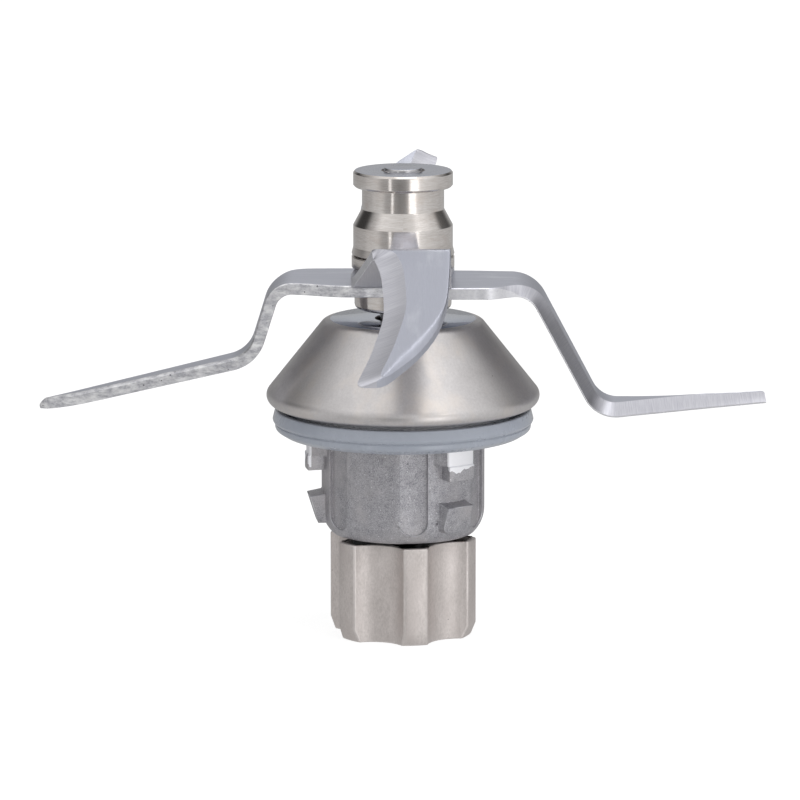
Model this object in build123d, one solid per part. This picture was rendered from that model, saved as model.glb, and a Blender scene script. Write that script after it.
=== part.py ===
"""Mixing blade assembly of a jar blender: four bent blades on a spindle, carried by a die-cast
bearing housing under a satin cone cover, and driven from below by a six-lobed coupling.

Frame: the spindle axis is Z, the flat bottom of the coupling is z = 0, and the lower blade's
arms point along -X and +X. Seen from above, the rotor turns clockwise. Lengths in millimetres.
"""
from build123d import *
from dataclasses import dataclass
from math import acos, atan2, cos, degrees, hypot, radians, sin, tan
import os

# Clearances
PRESS_GAP = 0.01          # radial gap of a pressed or ground seat inside one body
RUNNING_GAP = 0.05        # radial gap of the balls in their raceways
SWEEP_GAP = 0.4           # gap between a turning face and the still face beside it

# Spindle
SHAFT_RADIUS = 4.0
SHAFT_HEAD_RADIUS = 3.35  # turned-down end that carries the blades and the hub
SHAFT_HEAD_PROUD = 0.5    # how far the spindle end stands above the hub
SHAFT_FLAT = 3.3          # half width across the drive flats inside the coupling
SHAFT_FOOT = 4.2          # height of the spindle's lower end

# Blade stack, from the cone's flat upwards
COLLAR_RADIUS = 8.35
COLLAR_HEIGHT = 3.1
COLLAR_GAP = 1.8          # visible spindle between the cone's flat and the collar
BLADE_THICKNESS = 2.0
RING_RADIUS = 8.83
RING_HEIGHT = 2.15
HUB_RADIUS = 8.55
HUB_HEIGHT = 14.6
HUB_NECK_RADIUS = 7.05
HUB_FLANGE_HEIGHT = 2.8
HUB_NECK_HEIGHT = 3.8
HUB_SHOULDER_HEIGHT = 2.8
HUB_FLARE_HEIGHT = 1.2

# Edge finish of the turned pieces
RIM_CHAMFER = 0.3
FLANGE_CHAMFER = 0.35
RING_CHAMFER = 0.15
COLLAR_RIM_ROUND = 0.8
SEAM_GAP = 0.12           # fine groove left between the ring and the hub

# Ground edges of the blades
FULL_GRIND = 1.0          # bevel width from which the edge is fully ground
EDGE_LAND = 0.25          # thickness left at a ground edge
BEVEL_SHARE = 0.95        # largest part of an arm's width that its bevel takes

# Cone cover
CONE_TOP = 55.2
CONE_MAX_RADIUS = 23.55
CONE_SLOPE = 51.6         # slope of its side below the horizontal, degrees
CONE_SHOULDER = 3.0       # fillet between the flat and the slope
CONE_RIM_RADIUS = 1.7     # fillet of the turned-in rim
CONE_BOTTOM = 40.2
CONE_WALL = 1.2
CONE_BORE_RADIUS = 4.8
CONE_LIP_RADIUS = 20.6     # inner end of the rolled rim, under the housing's flange

# Jar seal ring
SEAL_RADIUS = 22.5
SEAL_INNER_RADIUS = 18.5
SEAL_BOTTOM = 35.2
SEAL_HEIGHT = 4.3
SEAL_LIP_HEIGHT = 2.4     # height of the outer lip's edge above the ring's bottom
SEAL_TOP_RADIUS = 22.0
SEAL_FOOT_RADIUS = 20.5
SEAL_WALL = 0.9
SEAL_FLOOR = 1.8
BEAD_HEIGHT = 0.4         # bead on the housing that keeps the ring from slipping off
BEAD_GAP = 0.05

# Bearing housing
HOUSING_RADIUS = 14.07
HOUSING_BOTTOM = 18.0
HOUSING_FOOT_RADIUS = 12.3
HOUSING_FOOT_RISE = 4.2   # height over which the foot narrows
COLLAR_FOOT = 34.9        # underside of the collar that carries the seal ring
FLANGE_ROOM = 0.25        # radial room of the flange inside the cone's rolled rim
HOUSING_FLANGE_RADIUS = CONE_MAX_RADIUS - CONE_RIM_RADIUS - FLANGE_ROOM
HOUSING_FLANGE_HEIGHT = 1.1
HOUSING_TOP = 49.0
HOUSING_NECK_RADIUS = 13.4
GROOVE_WIDTH = 4.8
GROOVE_DEPTH = 0.9
GROOVE_FOOT = 19.6
BAY_AZIMUTH = 37.0        # first key bay, measured from -Y towards +X, degrees
BAY_COUNT = 3
FEATURE_SINK = 0.2        # how far keys and lugs start inside the curved wall
FEATURE_ROOT = 1.0        # how deep the keys' roots reach into the wall
GROOVE_OFFSET = 29.5      # groove centres on each side of a bay, degrees
KEY_REACH = 16.95
KEY_STEP = 0.25           # how far the flared part stands back from the key's face
KEY_HALF_ANGLE = 9.0
KEY_BOTTOM = 29.3
KEY_FLARE_BOTTOM = 31.9
KEY_FLARE_HALF_ANGLE = 15.7
LUG_REACH = 16.45
LUG_FOOT_REACH = 14.9
LUG_HALF_WIDTH = 2.7
LUG_BOTTOM = 19.8
LUG_CORNER = 1.5          # rounded lower corners of its face
LUG_TOP = 24.7
LUG_TOP_RISE = 0.5

# Ball bearings, both alike
BEARING_OUTER_RADIUS = 11.0
BEARING_WIDTH = 7.0
BEARING_RACE = 1.9        # radial thickness of each race
BALL_RADIUS = 2.0
BALL_COUNT = 7
SHIELD_THICKNESS = 0.4
SHIELD_INSET = 0.2
CAGE_THICKNESS = 0.5
LOWER_BEARING_BOTTOM = 20.0
UPPER_BEARING_BOTTOM = 33.6
HOUSING_SHOULDER_RADIUS = 9.2
SPACER_RADIUS = 5.4

# Retaining rings
CIRCLIP_THICKNESS = 0.9
CIRCLIP_GROOVE = 0.5      # how deep each retaining ring sits in its groove
CIRCLIP_WIDTH = 1.4
CIRCLIP_GAP_ANGLE = 34.0
CIRCLIP_AZIMUTH = 70.0

# Spindle lip seal
LIP_SEAL_WIDTH = 6.0
LIP_SEAL_CASE = 0.8
LIP_SEAL_FLANGE_RADIUS = 7.2
LIP_THICKNESS = 1.1
SPRING_RADIUS = 0.55
LIP_SEAL_BOTTOM = UPPER_BEARING_BOTTOM + BEARING_WIDTH + 1.2

# Drive coupling
LOBE_COUNT = 6
LOBE_AZIMUTH = 10.0
LOBE_RADIUS = 12.85
LOBE_HALF_ANGLE_ARC = 2.13 # half length of a lobe's crest
FLUTE_RADIUS = 9.8        # distance from the axis to the flute's deepest point
COUPLING_HEIGHT = 17.2
COUPLING_WALL = 1.0
COUPLING_CHAMFER = 0.95
COUPLING_CHAMFER_RISE = 2.3
COUPLING_HOLE_RADIUS = 6.5
CORE_TOP_DROP = 1.2       # how far the core lies below the cup's rim
SCREW_HEAD_RADIUS = 3.8
SCREW_HEAD_HEIGHT = 1.9
SCREW_SHANK_RADIUS = 2.0
SCREW_LENGTH = 9.0
SOCKET_RADIUS = 1.45
SOCKET_DEPTH = 1.2
CORE_GAP = 0.02           # fit of the core in the cup
WASHER_RADIUS = 5.6
WASHER_HOLE_RADIUS = 2.2
WASHER_THICKNESS = 0.9

# Heights that follow from the sizes above
COLLAR_BOTTOM = CONE_TOP + COLLAR_GAP
LOWER_BLADE_BOTTOM = COLLAR_BOTTOM + COLLAR_HEIGHT
UPPER_BLADE_BOTTOM = LOWER_BLADE_BOTTOM + BLADE_THICKNESS
RING_BOTTOM = UPPER_BLADE_BOTTOM + BLADE_THICKNESS
HUB_BOTTOM = RING_BOTTOM + RING_HEIGHT
HUB_TOP = HUB_BOTTOM + HUB_HEIGHT
BALL_TRACK_RADIUS = (BEARING_OUTER_RADIUS + SHAFT_RADIUS) / 2
FLANGE_BOTTOM = CONE_BOTTOM + CONE_WALL


@dataclass(frozen=True)
class Arm:
    """One arm of a blade: its bends seen from the side and its two edges seen from above.

    side: corner points (distance out from the axis, height) of the sheet's middle plane
    bends: bend radius at each inner corner
    lead, trail: (distance out, offset) points of the cutting edge and of the back edge
    grind: (distance out, width) points of the ground bevel along the cutting edge
    tip_rounds: corner radii of the tip, at the cutting edge and at the back edge
    """
    side: tuple
    bends: tuple
    lead: tuple
    trail: tuple
    grind: tuple
    tip_rounds: tuple


LOWER_MID = LOWER_BLADE_BOTTOM + BLADE_THICKNESS / 2
UPPER_MID = UPPER_BLADE_BOTTOM + BLADE_THICKNESS / 2
ROOT = 9.0                # where the arms leave the flat middle of each blade
ROOT_LEAD_LOWER = 10.6
ROOT_TRAIL_LOWER = -8.3
ROOT_LEAD_UPPER = 8.9
ROOT_TRAIL_UPPER = -8.2
EDGE_BREAK = 0.15         # broken corner of an edge that isn't ground
LEFT_BEND_DROP = 12.6     # how far each arm falls from the flat middle to its second bend
LEFT_TIP_DROP = 21.6      # and to its tip
RIGHT_BEND_DROP = 21.55
RIGHT_TIP_DROP = 18.2
FRONT_BEND_RISE = 6.5
FRONT_TIP_DROP = 9.3
BACK_TIP_RISE = 12.7

LEFT_ARM = Arm(
    side=((ROOT, LOWER_MID), (21.85, LOWER_MID), (25.8, LOWER_MID - LEFT_BEND_DROP),
          (63.1, LOWER_MID - LEFT_TIP_DROP)),
    bends=(4.0, 6.5),
    lead=((ROOT, ROOT_LEAD_LOWER), (18.2, 10.3), (21.5, 7.8), (25, 6.5), (38, 6.0),
          (52, 5.6), (63.1, 5.2)),
    trail=((ROOT, ROOT_TRAIL_LOWER), (18, -5.6), (25, -4.4), (40, -2.9), (55.5, -1.4),
           (60.0, 0.6), (62.0, 2.6), (63.1, 4.4)),
    grind=((ROOT, EDGE_BREAK), (16, EDGE_BREAK), (24, 3.5), (56, 3.7), (63.1, 3.2)),
    tip_rounds=(0.3, 0.3))
RIGHT_ARM = Arm(
    side=((ROOT, LOWER_MID), (22.1, LOWER_MID), (33.65, LOWER_MID - RIGHT_BEND_DROP),
          (62.0, LOWER_MID - RIGHT_TIP_DROP)),
    bends=(5.5, 5.0),
    lead=((ROOT, ROOT_LEAD_LOWER), (14.5, 10.5), (18.5, 8.2), (23, 6.6), (32, 6.3),
          (46, 7.1), (62.0, 8.7)),
    trail=((ROOT, ROOT_TRAIL_LOWER), (18, -7.5), (31, -6.2), (36, -3.8), (41, -0.6),
           (47, 2.3), (53, 4.1), (62.0, 5.3)),
    grind=((ROOT, EDGE_BREAK), (15.5, EDGE_BREAK), (20, FULL_GRIND), (26, 3.6), (50, 3.7),
           (62.0, 4.6)),
    tip_rounds=(0.2, 0.8))
FRONT_ARM = Arm(
    side=((ROOT, UPPER_MID), (11.2, UPPER_MID), (19.5, UPPER_MID + FRONT_BEND_RISE),
          (54.5, UPPER_MID - FRONT_TIP_DROP)),
    bends=(2.4, 2.0),
    lead=((ROOT, ROOT_LEAD_UPPER), (10.6, 8.8), (11.6, 8.4), (19.5, 5.1), (26, 3.6),
          (34, 3.2), (44, 4.8), (54.5, 7.8)),
    trail=((ROOT, ROOT_TRAIL_UPPER), (20, -8.0), (32, -7.5), (40, -5.9), (46.5, -2.9),
           (51, 0.3), (54.5, 3.1)),
    grind=((ROOT, EDGE_BREAK), (18.8, EDGE_BREAK), (21.0, 3.4), (26.0, 3.7), (54.5, 3.8)),
    tip_rounds=(1.4, 1.2))
BACK_ARM = Arm(
    side=((ROOT, UPPER_MID), (11.2, UPPER_MID), (57.0, UPPER_MID + BACK_TIP_RISE)),
    bends=(3.0,),
    lead=((ROOT, ROOT_LEAD_UPPER), (12, 8.7), (21, 5.2), (28, 3.8), (36, 3.6), (46, 4.7),
          (57, 6.4)),
    trail=((ROOT, ROOT_TRAIL_UPPER), (20, -8.0), (34, -7.2), (42, -5.2), (48, -2.5),
           (53, 0.4), (57, 3.0)),
    grind=((ROOT, EDGE_BREAK), (14, EDGE_BREAK), (20, 3.6), (54, 3.8), (57, 3.8)),
    tip_rounds=(1.2, 1.6))


def azimuth_point(radius, azimuth, z=0.0):
    """Point at a radius and an azimuth measured from -Y towards +X, in degrees."""
    return Vector(radius * sin(radians(azimuth)), -radius * cos(radians(azimuth)), z)


def turn_to(azimuth):
    """Rotation that takes the +X direction to an azimuth measured from -Y towards +X."""
    return Rotation(0, 0, azimuth - 90)


def tube(outer, inner, height, z):
    """Plain ring standing on height z."""
    ring = Cylinder(outer, height, align=(Align.CENTER, Align.CENTER, Align.MIN))
    hole = Cylinder(inner, height, align=(Align.CENTER, Align.CENTER, Align.MIN))
    return Pos(0, 0, z) * (ring - hole)


def rod(radius, height, z):
    """Plain cylinder standing on height z."""
    return Pos(0, 0, z) * Cylinder(radius, height, align=(Align.CENTER, Align.CENTER, Align.MIN))


def turned(*points):
    """Solid of revolution about Z from a closed (radius, height) outline."""
    outline = Plane.XZ * make_face(Polyline(*points, close=True))
    return revolve(outline, Axis.Z)


def smooth_value(points, at):
    """Value of the smooth curve through control points (place, value), at a place."""
    places = [place for place, _ in points]
    values = [value for _, value in points]
    steps = [(values[i + 1] - values[i]) / (places[i + 1] - places[i])
             for i in range(len(points) - 1)]
    slopes = [steps[0]]
    for before, after in zip(steps, steps[1:]):
        slopes.append(0.0 if before * after <= 0 else 2 * before * after / (before + after))
    slopes.append(steps[-1])
    if at <= places[0]:
        return values[0]
    for i, step in enumerate(steps):
        if at <= places[i + 1]:
            width = places[i + 1] - places[i]
            share = (at - places[i]) / width
            rise = values[i + 1] - values[i]
            return (values[i] + share * width * slopes[i]
                    + share ** 2 * (3 * rise - width * (2 * slopes[i] + slopes[i + 1]))
                    + share ** 3 * (width * (slopes[i] + slopes[i + 1]) - 2 * rise))
    return values[-1]


def side_stations(arm):
    """Places along the bent middle plane: (distance out, height, slope in radians)."""
    corners = arm.side
    stations = []
    start = corners[0]
    for index, radius in enumerate(arm.bends, start=1):
        before, corner, after = corners[index - 1], corners[index], corners[index + 1]
        slope_in = atan2(corner[1] - before[1], corner[0] - before[0])
        slope_out = atan2(after[1] - corner[1], after[0] - corner[0])
        turn = slope_out - slope_in
        reach = radius * tan(abs(turn) / 2)
        arc_start = (corner[0] - reach * cos(slope_in), corner[1] - reach * sin(slope_in))
        stations += straight_stations(start, arc_start, slope_in)
        side = 1 if turn > 0 else -1
        centre = (arc_start[0] - side * radius * sin(slope_in),
                  arc_start[1] + side * radius * cos(slope_in))
        steps = max(3, round(abs(degrees(turn)) / 12))
        for step in range(1, steps):
            slope = slope_in + turn * step / steps
            stations.append((centre[0] + side * radius * sin(slope),
                             centre[1] - side * radius * cos(slope), slope))
        start = (corner[0] + reach * cos(slope_out), corner[1] + reach * sin(slope_out))
        last_slope = slope_out
    stations += straight_stations(start, corners[-1], last_slope)
    stations.append((corners[-1][0], corners[-1][1], last_slope))
    return stations


def straight_stations(start, end, slope):
    """Places along a straight run, its end left out."""
    length = hypot(end[0] - start[0], end[1] - start[1])
    steps = max(1, round(length / 3.0))
    return [(start[0] + (end[0] - start[0]) * step / steps,
             start[1] + (end[1] - start[1]) * step / steps, slope) for step in range(steps)]


def arm_section(arm, out, height, slope):
    """Cross-section of an arm that points along +X, as a closed wire."""
    lead = smooth_value(arm.lead, out)
    trail = smooth_value(arm.trail, out)
    grind = smooth_value(arm.grind, out)
    chord = lead - trail
    half = BLADE_THICKNESS / 2
    ground = min(1.0, (grind - EDGE_BREAK) / (FULL_GRIND - EDGE_BREAK))
    land = (BLADE_THICKNESS - EDGE_BREAK) * (1 - ground) + EDGE_LAND * ground
    climb = (BLADE_THICKNESS - land) / grind
    bevel = min(grind, BEVEL_SHARE * chord)
    bevel_top = land + climb * bevel - half
    back_top = min(half, land + climb * chord - half)
    outline = ((trail, -half), (trail, back_top), (lead - bevel, bevel_top),
               (lead, land - half), (lead, -half))
    points = [Vector(out - offset * sin(slope), -across, height + offset * cos(slope))
              for across, offset in outline]
    return Wire.make_polygon(points, close=True)


def tip_corner_cut(corner, along_tip, along_edge, radius):
    """Prism that rounds one corner of a tip, seen from above."""
    half_angle = acos(along_tip.dot(along_edge)) / 2
    reach = radius / tan(half_angle)
    inward = (along_tip + along_edge).normalized()
    centre = corner + inward * (radius / sin(half_angle))
    waste = make_face(Polyline(corner + along_tip * reach, corner - inward * radius,
                               corner + along_edge * reach, close=True))
    waste -= Pos(centre.X, centre.Y) * Circle(radius)
    return extrude(waste, 4 * UPPER_MID)


def rounded_tip(arm, body):
    """The arm with both corners of its tip rounded."""
    tip = arm.side[-1][0]
    before = tip - 2.0
    lead_corner = Vector(tip, -arm.lead[-1][1])
    trail_corner = Vector(tip, -arm.trail[-1][1])
    across = (trail_corner - lead_corner).normalized()
    lead_run = (Vector(before, -smooth_value(arm.lead, before)) - lead_corner).normalized()
    trail_run = (Vector(before, -smooth_value(arm.trail, before)) - trail_corner).normalized()
    lead_round, trail_round = arm.tip_rounds
    body -= tip_corner_cut(lead_corner, across, lead_run, lead_round)
    return body - tip_corner_cut(trail_corner, -across, trail_run, trail_round)


def arm_solid(arm):
    """One arm, pointing along +X with its cutting edge on the -Y side."""
    sections = [arm_section(arm, *station) for station in side_stations(arm)]
    return rounded_tip(arm, Part() + Solid.make_loft(sections, ruled=True))


def blade_plate(bottom, lead, trail):
    """Flat middle of a blade that lies along X, the cutting side of each arm the wider one."""
    outline = Polyline((ROOT, -lead), (ROOT, -trail), (0, -trail), (-ROOT, lead),
                       (-ROOT, trail), (0, trail), close=True)
    return Pos(0, 0, bottom) * extrude(make_face(outline), BLADE_THICKNESS)


def two_arm_blade(first, second, bottom, lead, trail):
    """Blade of one sheet: an arm along +X, one along -X, and the drilled middle between."""
    body = blade_plate(bottom, lead, trail) + arm_solid(first)
    body += Rotation(0, 0, 180) * arm_solid(second)
    return body - rod(SHAFT_HEAD_RADIUS + PRESS_GAP, BLADE_THICKNESS, bottom)


def lower_blade():
    """Lower blade: both arms drop beside the cone, then run out to the tips."""
    return two_arm_blade(RIGHT_ARM, LEFT_ARM, LOWER_BLADE_BOTTOM,
                         ROOT_LEAD_LOWER, ROOT_TRAIL_LOWER)


def upper_blade():
    """Upper blade: the front arm rises and folds down, the back arm climbs to its tip."""
    along_x = two_arm_blade(BACK_ARM, FRONT_ARM, UPPER_BLADE_BOTTOM,
                            ROOT_LEAD_UPPER, ROOT_TRAIL_UPPER)
    return Rotation(0, 0, 90) * along_x


def blade_seat_collar():
    """Collar under the blades, with a rounded lower rim."""
    body = tube(COLLAR_RADIUS, SHAFT_HEAD_RADIUS + PRESS_GAP, COLLAR_HEIGHT, COLLAR_BOTTOM)
    rim = body.edges().filter_by(GeomType.CIRCLE).filter_by(
        lambda edge: edge.radius > SHAFT_RADIUS).sort_by(Axis.Z)[0]
    return fillet(rim, COLLAR_RIM_ROUND)


def clamp_ring():
    """Ring between the upper blade and the hub."""
    body = tube(RING_RADIUS, SHAFT_HEAD_RADIUS + PRESS_GAP, RING_HEIGHT - SEAM_GAP, RING_BOTTOM)
    rims = body.edges().filter_by(GeomType.CIRCLE).filter_by(
        lambda edge: edge.radius > SHAFT_RADIUS)
    return chamfer(rims, RING_CHAMFER)


def hub_knob():
    """Turned hub with the grooved neck that locks accessories."""
    bore = SHAFT_HEAD_RADIUS + PRESS_GAP
    flange_bottom = HUB_TOP - HUB_FLANGE_HEIGHT
    shoulder_top = flange_bottom - HUB_NECK_HEIGHT
    shoulder_bottom = shoulder_top - HUB_SHOULDER_HEIGHT
    foot = HUB_BOTTOM + RIM_CHAMFER
    return turned((bore, HUB_BOTTOM), (RING_RADIUS - RIM_CHAMFER, HUB_BOTTOM),
                  (RING_RADIUS, foot), (HUB_RADIUS, foot + HUB_FLARE_HEIGHT),
                  (HUB_RADIUS, shoulder_bottom), (HUB_NECK_RADIUS, shoulder_top),
                  (HUB_NECK_RADIUS, flange_bottom), (HUB_RADIUS - FLANGE_CHAMFER, flange_bottom),
                  (HUB_RADIUS, flange_bottom + FLANGE_CHAMFER), (HUB_RADIUS, HUB_TOP - RIM_CHAMFER),
                  (HUB_RADIUS - RIM_CHAMFER, HUB_TOP), (bore, HUB_TOP))


def spindle():
    """Spindle: turned head through the blades and hub, plain journal, flats in the coupling."""
    head_top = HUB_TOP + SHAFT_HEAD_PROUD
    floor = SHAFT_RADIUS - CIRCLIP_GROOVE
    lower = LOWER_BEARING_BOTTOM - CIRCLIP_THICKNESS
    upper = UPPER_BEARING_BOTTOM + BEARING_WIDTH
    body = turned((0, SHAFT_FOOT), (SHAFT_RADIUS - RIM_CHAMFER, SHAFT_FOOT),
                  (SHAFT_RADIUS, SHAFT_FOOT + RIM_CHAMFER), (SHAFT_RADIUS, COLLAR_BOTTOM),
                  (SHAFT_HEAD_RADIUS, COLLAR_BOTTOM), (SHAFT_HEAD_RADIUS, head_top - RIM_CHAMFER),
                  (SHAFT_HEAD_RADIUS - RIM_CHAMFER, head_top), (0, head_top))
    for bottom in (lower, upper):
        body -= tube(SHAFT_RADIUS + 1, floor, CIRCLIP_THICKNESS, bottom)
    flat_top = COUPLING_HEIGHT - CORE_TOP_DROP
    for side in (-1, 1):
        body -= Pos(0, side * (SHAFT_FLAT + SHAFT_RADIUS), flat_top) * Box(
            4 * SHAFT_RADIUS, 2 * SHAFT_RADIUS, flat_top,
            align=(Align.CENTER, Align.CENTER, Align.MAX))
    return body - rod(SCREW_SHANK_RADIUS, SCREW_LENGTH + 1, SHAFT_FOOT)


def cone_cover():
    """Satin cover spun from sheet: polished flat, straight slope, and a rim rolled inwards."""
    rim_radius = CONE_MAX_RADIUS - CONE_RIM_RADIUS
    rim_height = CONE_BOTTOM + CONE_RIM_RADIUS
    normal = radians(90 - CONE_SLOPE)
    inner_turn = CONE_RIM_RADIUS - CONE_WALL

    def slope_ends(turn, top):
        """Both ends of the slope's line for one side of the sheet."""
        foot = (rim_radius + turn * cos(normal), rim_height + turn * sin(normal))
        return foot, (foot[0] - (top - foot[1]) / tan(radians(CONE_SLOPE)), top)

    foot, head = slope_ends(CONE_RIM_RADIUS, CONE_TOP)
    inner_foot, inner_head = slope_ends(inner_turn, CONE_TOP - CONE_WALL)
    lip_top = CONE_BOTTOM + CONE_WALL
    outline = [
        Line((CONE_BORE_RADIUS, CONE_TOP), head),
        Line(head, foot),
        ThreePointArc(foot, (CONE_MAX_RADIUS, rim_height), (rim_radius, CONE_BOTTOM)),
        Line((rim_radius, CONE_BOTTOM), (CONE_LIP_RADIUS, CONE_BOTTOM)),
        Line((CONE_LIP_RADIUS, CONE_BOTTOM), (CONE_LIP_RADIUS, lip_top)),
        Line((CONE_LIP_RADIUS, lip_top), (rim_radius, lip_top)),
        ThreePointArc((rim_radius, lip_top), (rim_radius + inner_turn, rim_height), inner_foot),
        Line(inner_foot, inner_head),
        Line(inner_head, (CONE_BORE_RADIUS, inner_head[1])),
        Line((CONE_BORE_RADIUS, inner_head[1]), (CONE_BORE_RADIUS, CONE_TOP))]
    body = revolve(Plane.XZ * make_face(outline), Axis.Z)
    body = round_ring_edge(body, head[0], CONE_TOP, CONE_SHOULDER)
    return round_ring_edge(body, inner_head[0], inner_head[1], CONE_SHOULDER - CONE_WALL)


def round_ring_edge(body, radius, z, fillet_radius):
    """Fillet on the circular edge of one radius and height."""
    edge = body.edges().filter_by(GeomType.CIRCLE).filter_by(
        lambda e: abs(e.radius - radius) < 0.01 and abs(e.center().Z - z) < 0.01)
    return fillet(edge, fillet_radius)


def seal_ring():
    """Soft ring that seals the blade unit in the jar: a channel open at the top."""
    top = SEAL_BOTTOM + SEAL_HEIGHT
    lip = SEAL_BOTTOM + SEAL_LIP_HEIGHT
    inner_wall = SEAL_INNER_RADIUS + SEAL_WALL
    outer_wall = SEAL_TOP_RADIUS - SEAL_WALL
    floor = SEAL_BOTTOM + SEAL_FLOOR
    straight = ((SEAL_RADIUS, lip), (SEAL_TOP_RADIUS, top), (outer_wall, top),
                (outer_wall, floor), (inner_wall, floor), (inner_wall, top - SEAL_WALL / 2),
                (SEAL_INNER_RADIUS, top - SEAL_WALL / 2),
                (SEAL_INNER_RADIUS, SEAL_BOTTOM + BEAD_HEIGHT),
                (SEAL_INNER_RADIUS + BEAD_HEIGHT, SEAL_BOTTOM), (SEAL_FOOT_RADIUS, SEAL_BOTTOM))
    bulge = (SEAL_FOOT_RADIUS + (SEAL_RADIUS - SEAL_FOOT_RADIUS) * sin(radians(45)),
             lip - SEAL_LIP_HEIGHT * cos(radians(45)))
    outline = [Polyline(*straight), ThreePointArc(straight[-1], bulge, straight[0])]
    return revolve(Plane.XZ * make_face(outline), Axis.Z)


def key(azimuth):
    """Upper key of a bay: square below, its sides flared into the body above."""
    corner = Vector(KEY_REACH, 0).rotate(Axis.Z, KEY_HALF_ANGLE)
    flare = Vector(HOUSING_RADIUS - FEATURE_SINK, 0).rotate(Axis.Z, KEY_FLARE_HALF_ANGLE)
    inside = HOUSING_RADIUS - FEATURE_ROOT
    half_inside = inside * tan(radians(KEY_HALF_ANGLE))
    face = make_face([
        ThreePointArc((corner.X, -corner.Y), (KEY_REACH, 0), (corner.X, corner.Y)),
        Polyline((corner.X, corner.Y), (inside, half_inside), (inside, -half_inside),
                 (corner.X, -corner.Y))])
    step = KEY_REACH - KEY_STEP
    shoulder = Vector(step, 0).rotate(Axis.Z, KEY_HALF_ANGLE)
    flared = make_face([
        ThreePointArc((shoulder.X, -shoulder.Y), (step, 0), (shoulder.X, shoulder.Y)),
        Polyline((shoulder.X, shoulder.Y), (flare.X, flare.Y), (inside, flare.Y),
                 (inside, -flare.Y), (flare.X, -flare.Y), (shoulder.X, -shoulder.Y))])
    body = Pos(0, 0, KEY_BOTTOM) * extrude(face, KEY_FLARE_BOTTOM - KEY_BOTTOM)
    body += Pos(0, 0, KEY_FLARE_BOTTOM) * extrude(flared, COLLAR_FOOT - KEY_FLARE_BOTTOM)
    return turn_to(azimuth) * body


def lug(azimuth):
    """Lower lug of a bay: leaning face, rounded lower corners, roof up to the body."""
    inside = HOUSING_FOOT_RADIUS - FEATURE_SINK
    roof = LUG_TOP + LUG_TOP_RISE
    side = make_face(Polyline((inside, LUG_BOTTOM), (LUG_FOOT_REACH, LUG_BOTTOM),
                              (LUG_REACH, LUG_TOP), (HOUSING_RADIUS - FEATURE_SINK, roof),
                              (inside, roof), close=True))
    body = extrude(Plane.XZ * side, LUG_HALF_WIDTH, both=True)
    face = Pos(0, LUG_BOTTOM) * Rectangle(2 * LUG_HALF_WIDTH, 2 * LUG_HALF_WIDTH,
                                          align=(Align.CENTER, Align.MIN))
    face = fillet(face.vertices().group_by(Axis.Y)[0], LUG_CORNER)
    face += Pos(0, roof) * Rectangle(2 * LUG_HALF_WIDTH, roof - LUG_BOTTOM - LUG_CORNER,
                                     align=(Align.CENTER, Align.MAX))
    return turn_to(azimuth) * (body & extrude(Plane.YZ * face, 2 * HOUSING_RADIUS))


def groove(azimuth):
    """Waste of one long groove down the side of the housing, with a rounded foot."""
    half = GROOVE_WIDTH / 2
    floor = HOUSING_RADIUS - GROOVE_DEPTH
    front = Plane.YZ * (Pos(0, GROOVE_FOOT + half) * Circle(half)
                        + Pos(0, (GROOVE_FOOT + half + COLLAR_FOOT) / 2) * Rectangle(
                            GROOVE_WIDTH, COLLAR_FOOT - GROOVE_FOOT - half))
    return turn_to(azimuth) * Pos(floor, 0, 0) * extrude(front, 2 * GROOVE_DEPTH)


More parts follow.
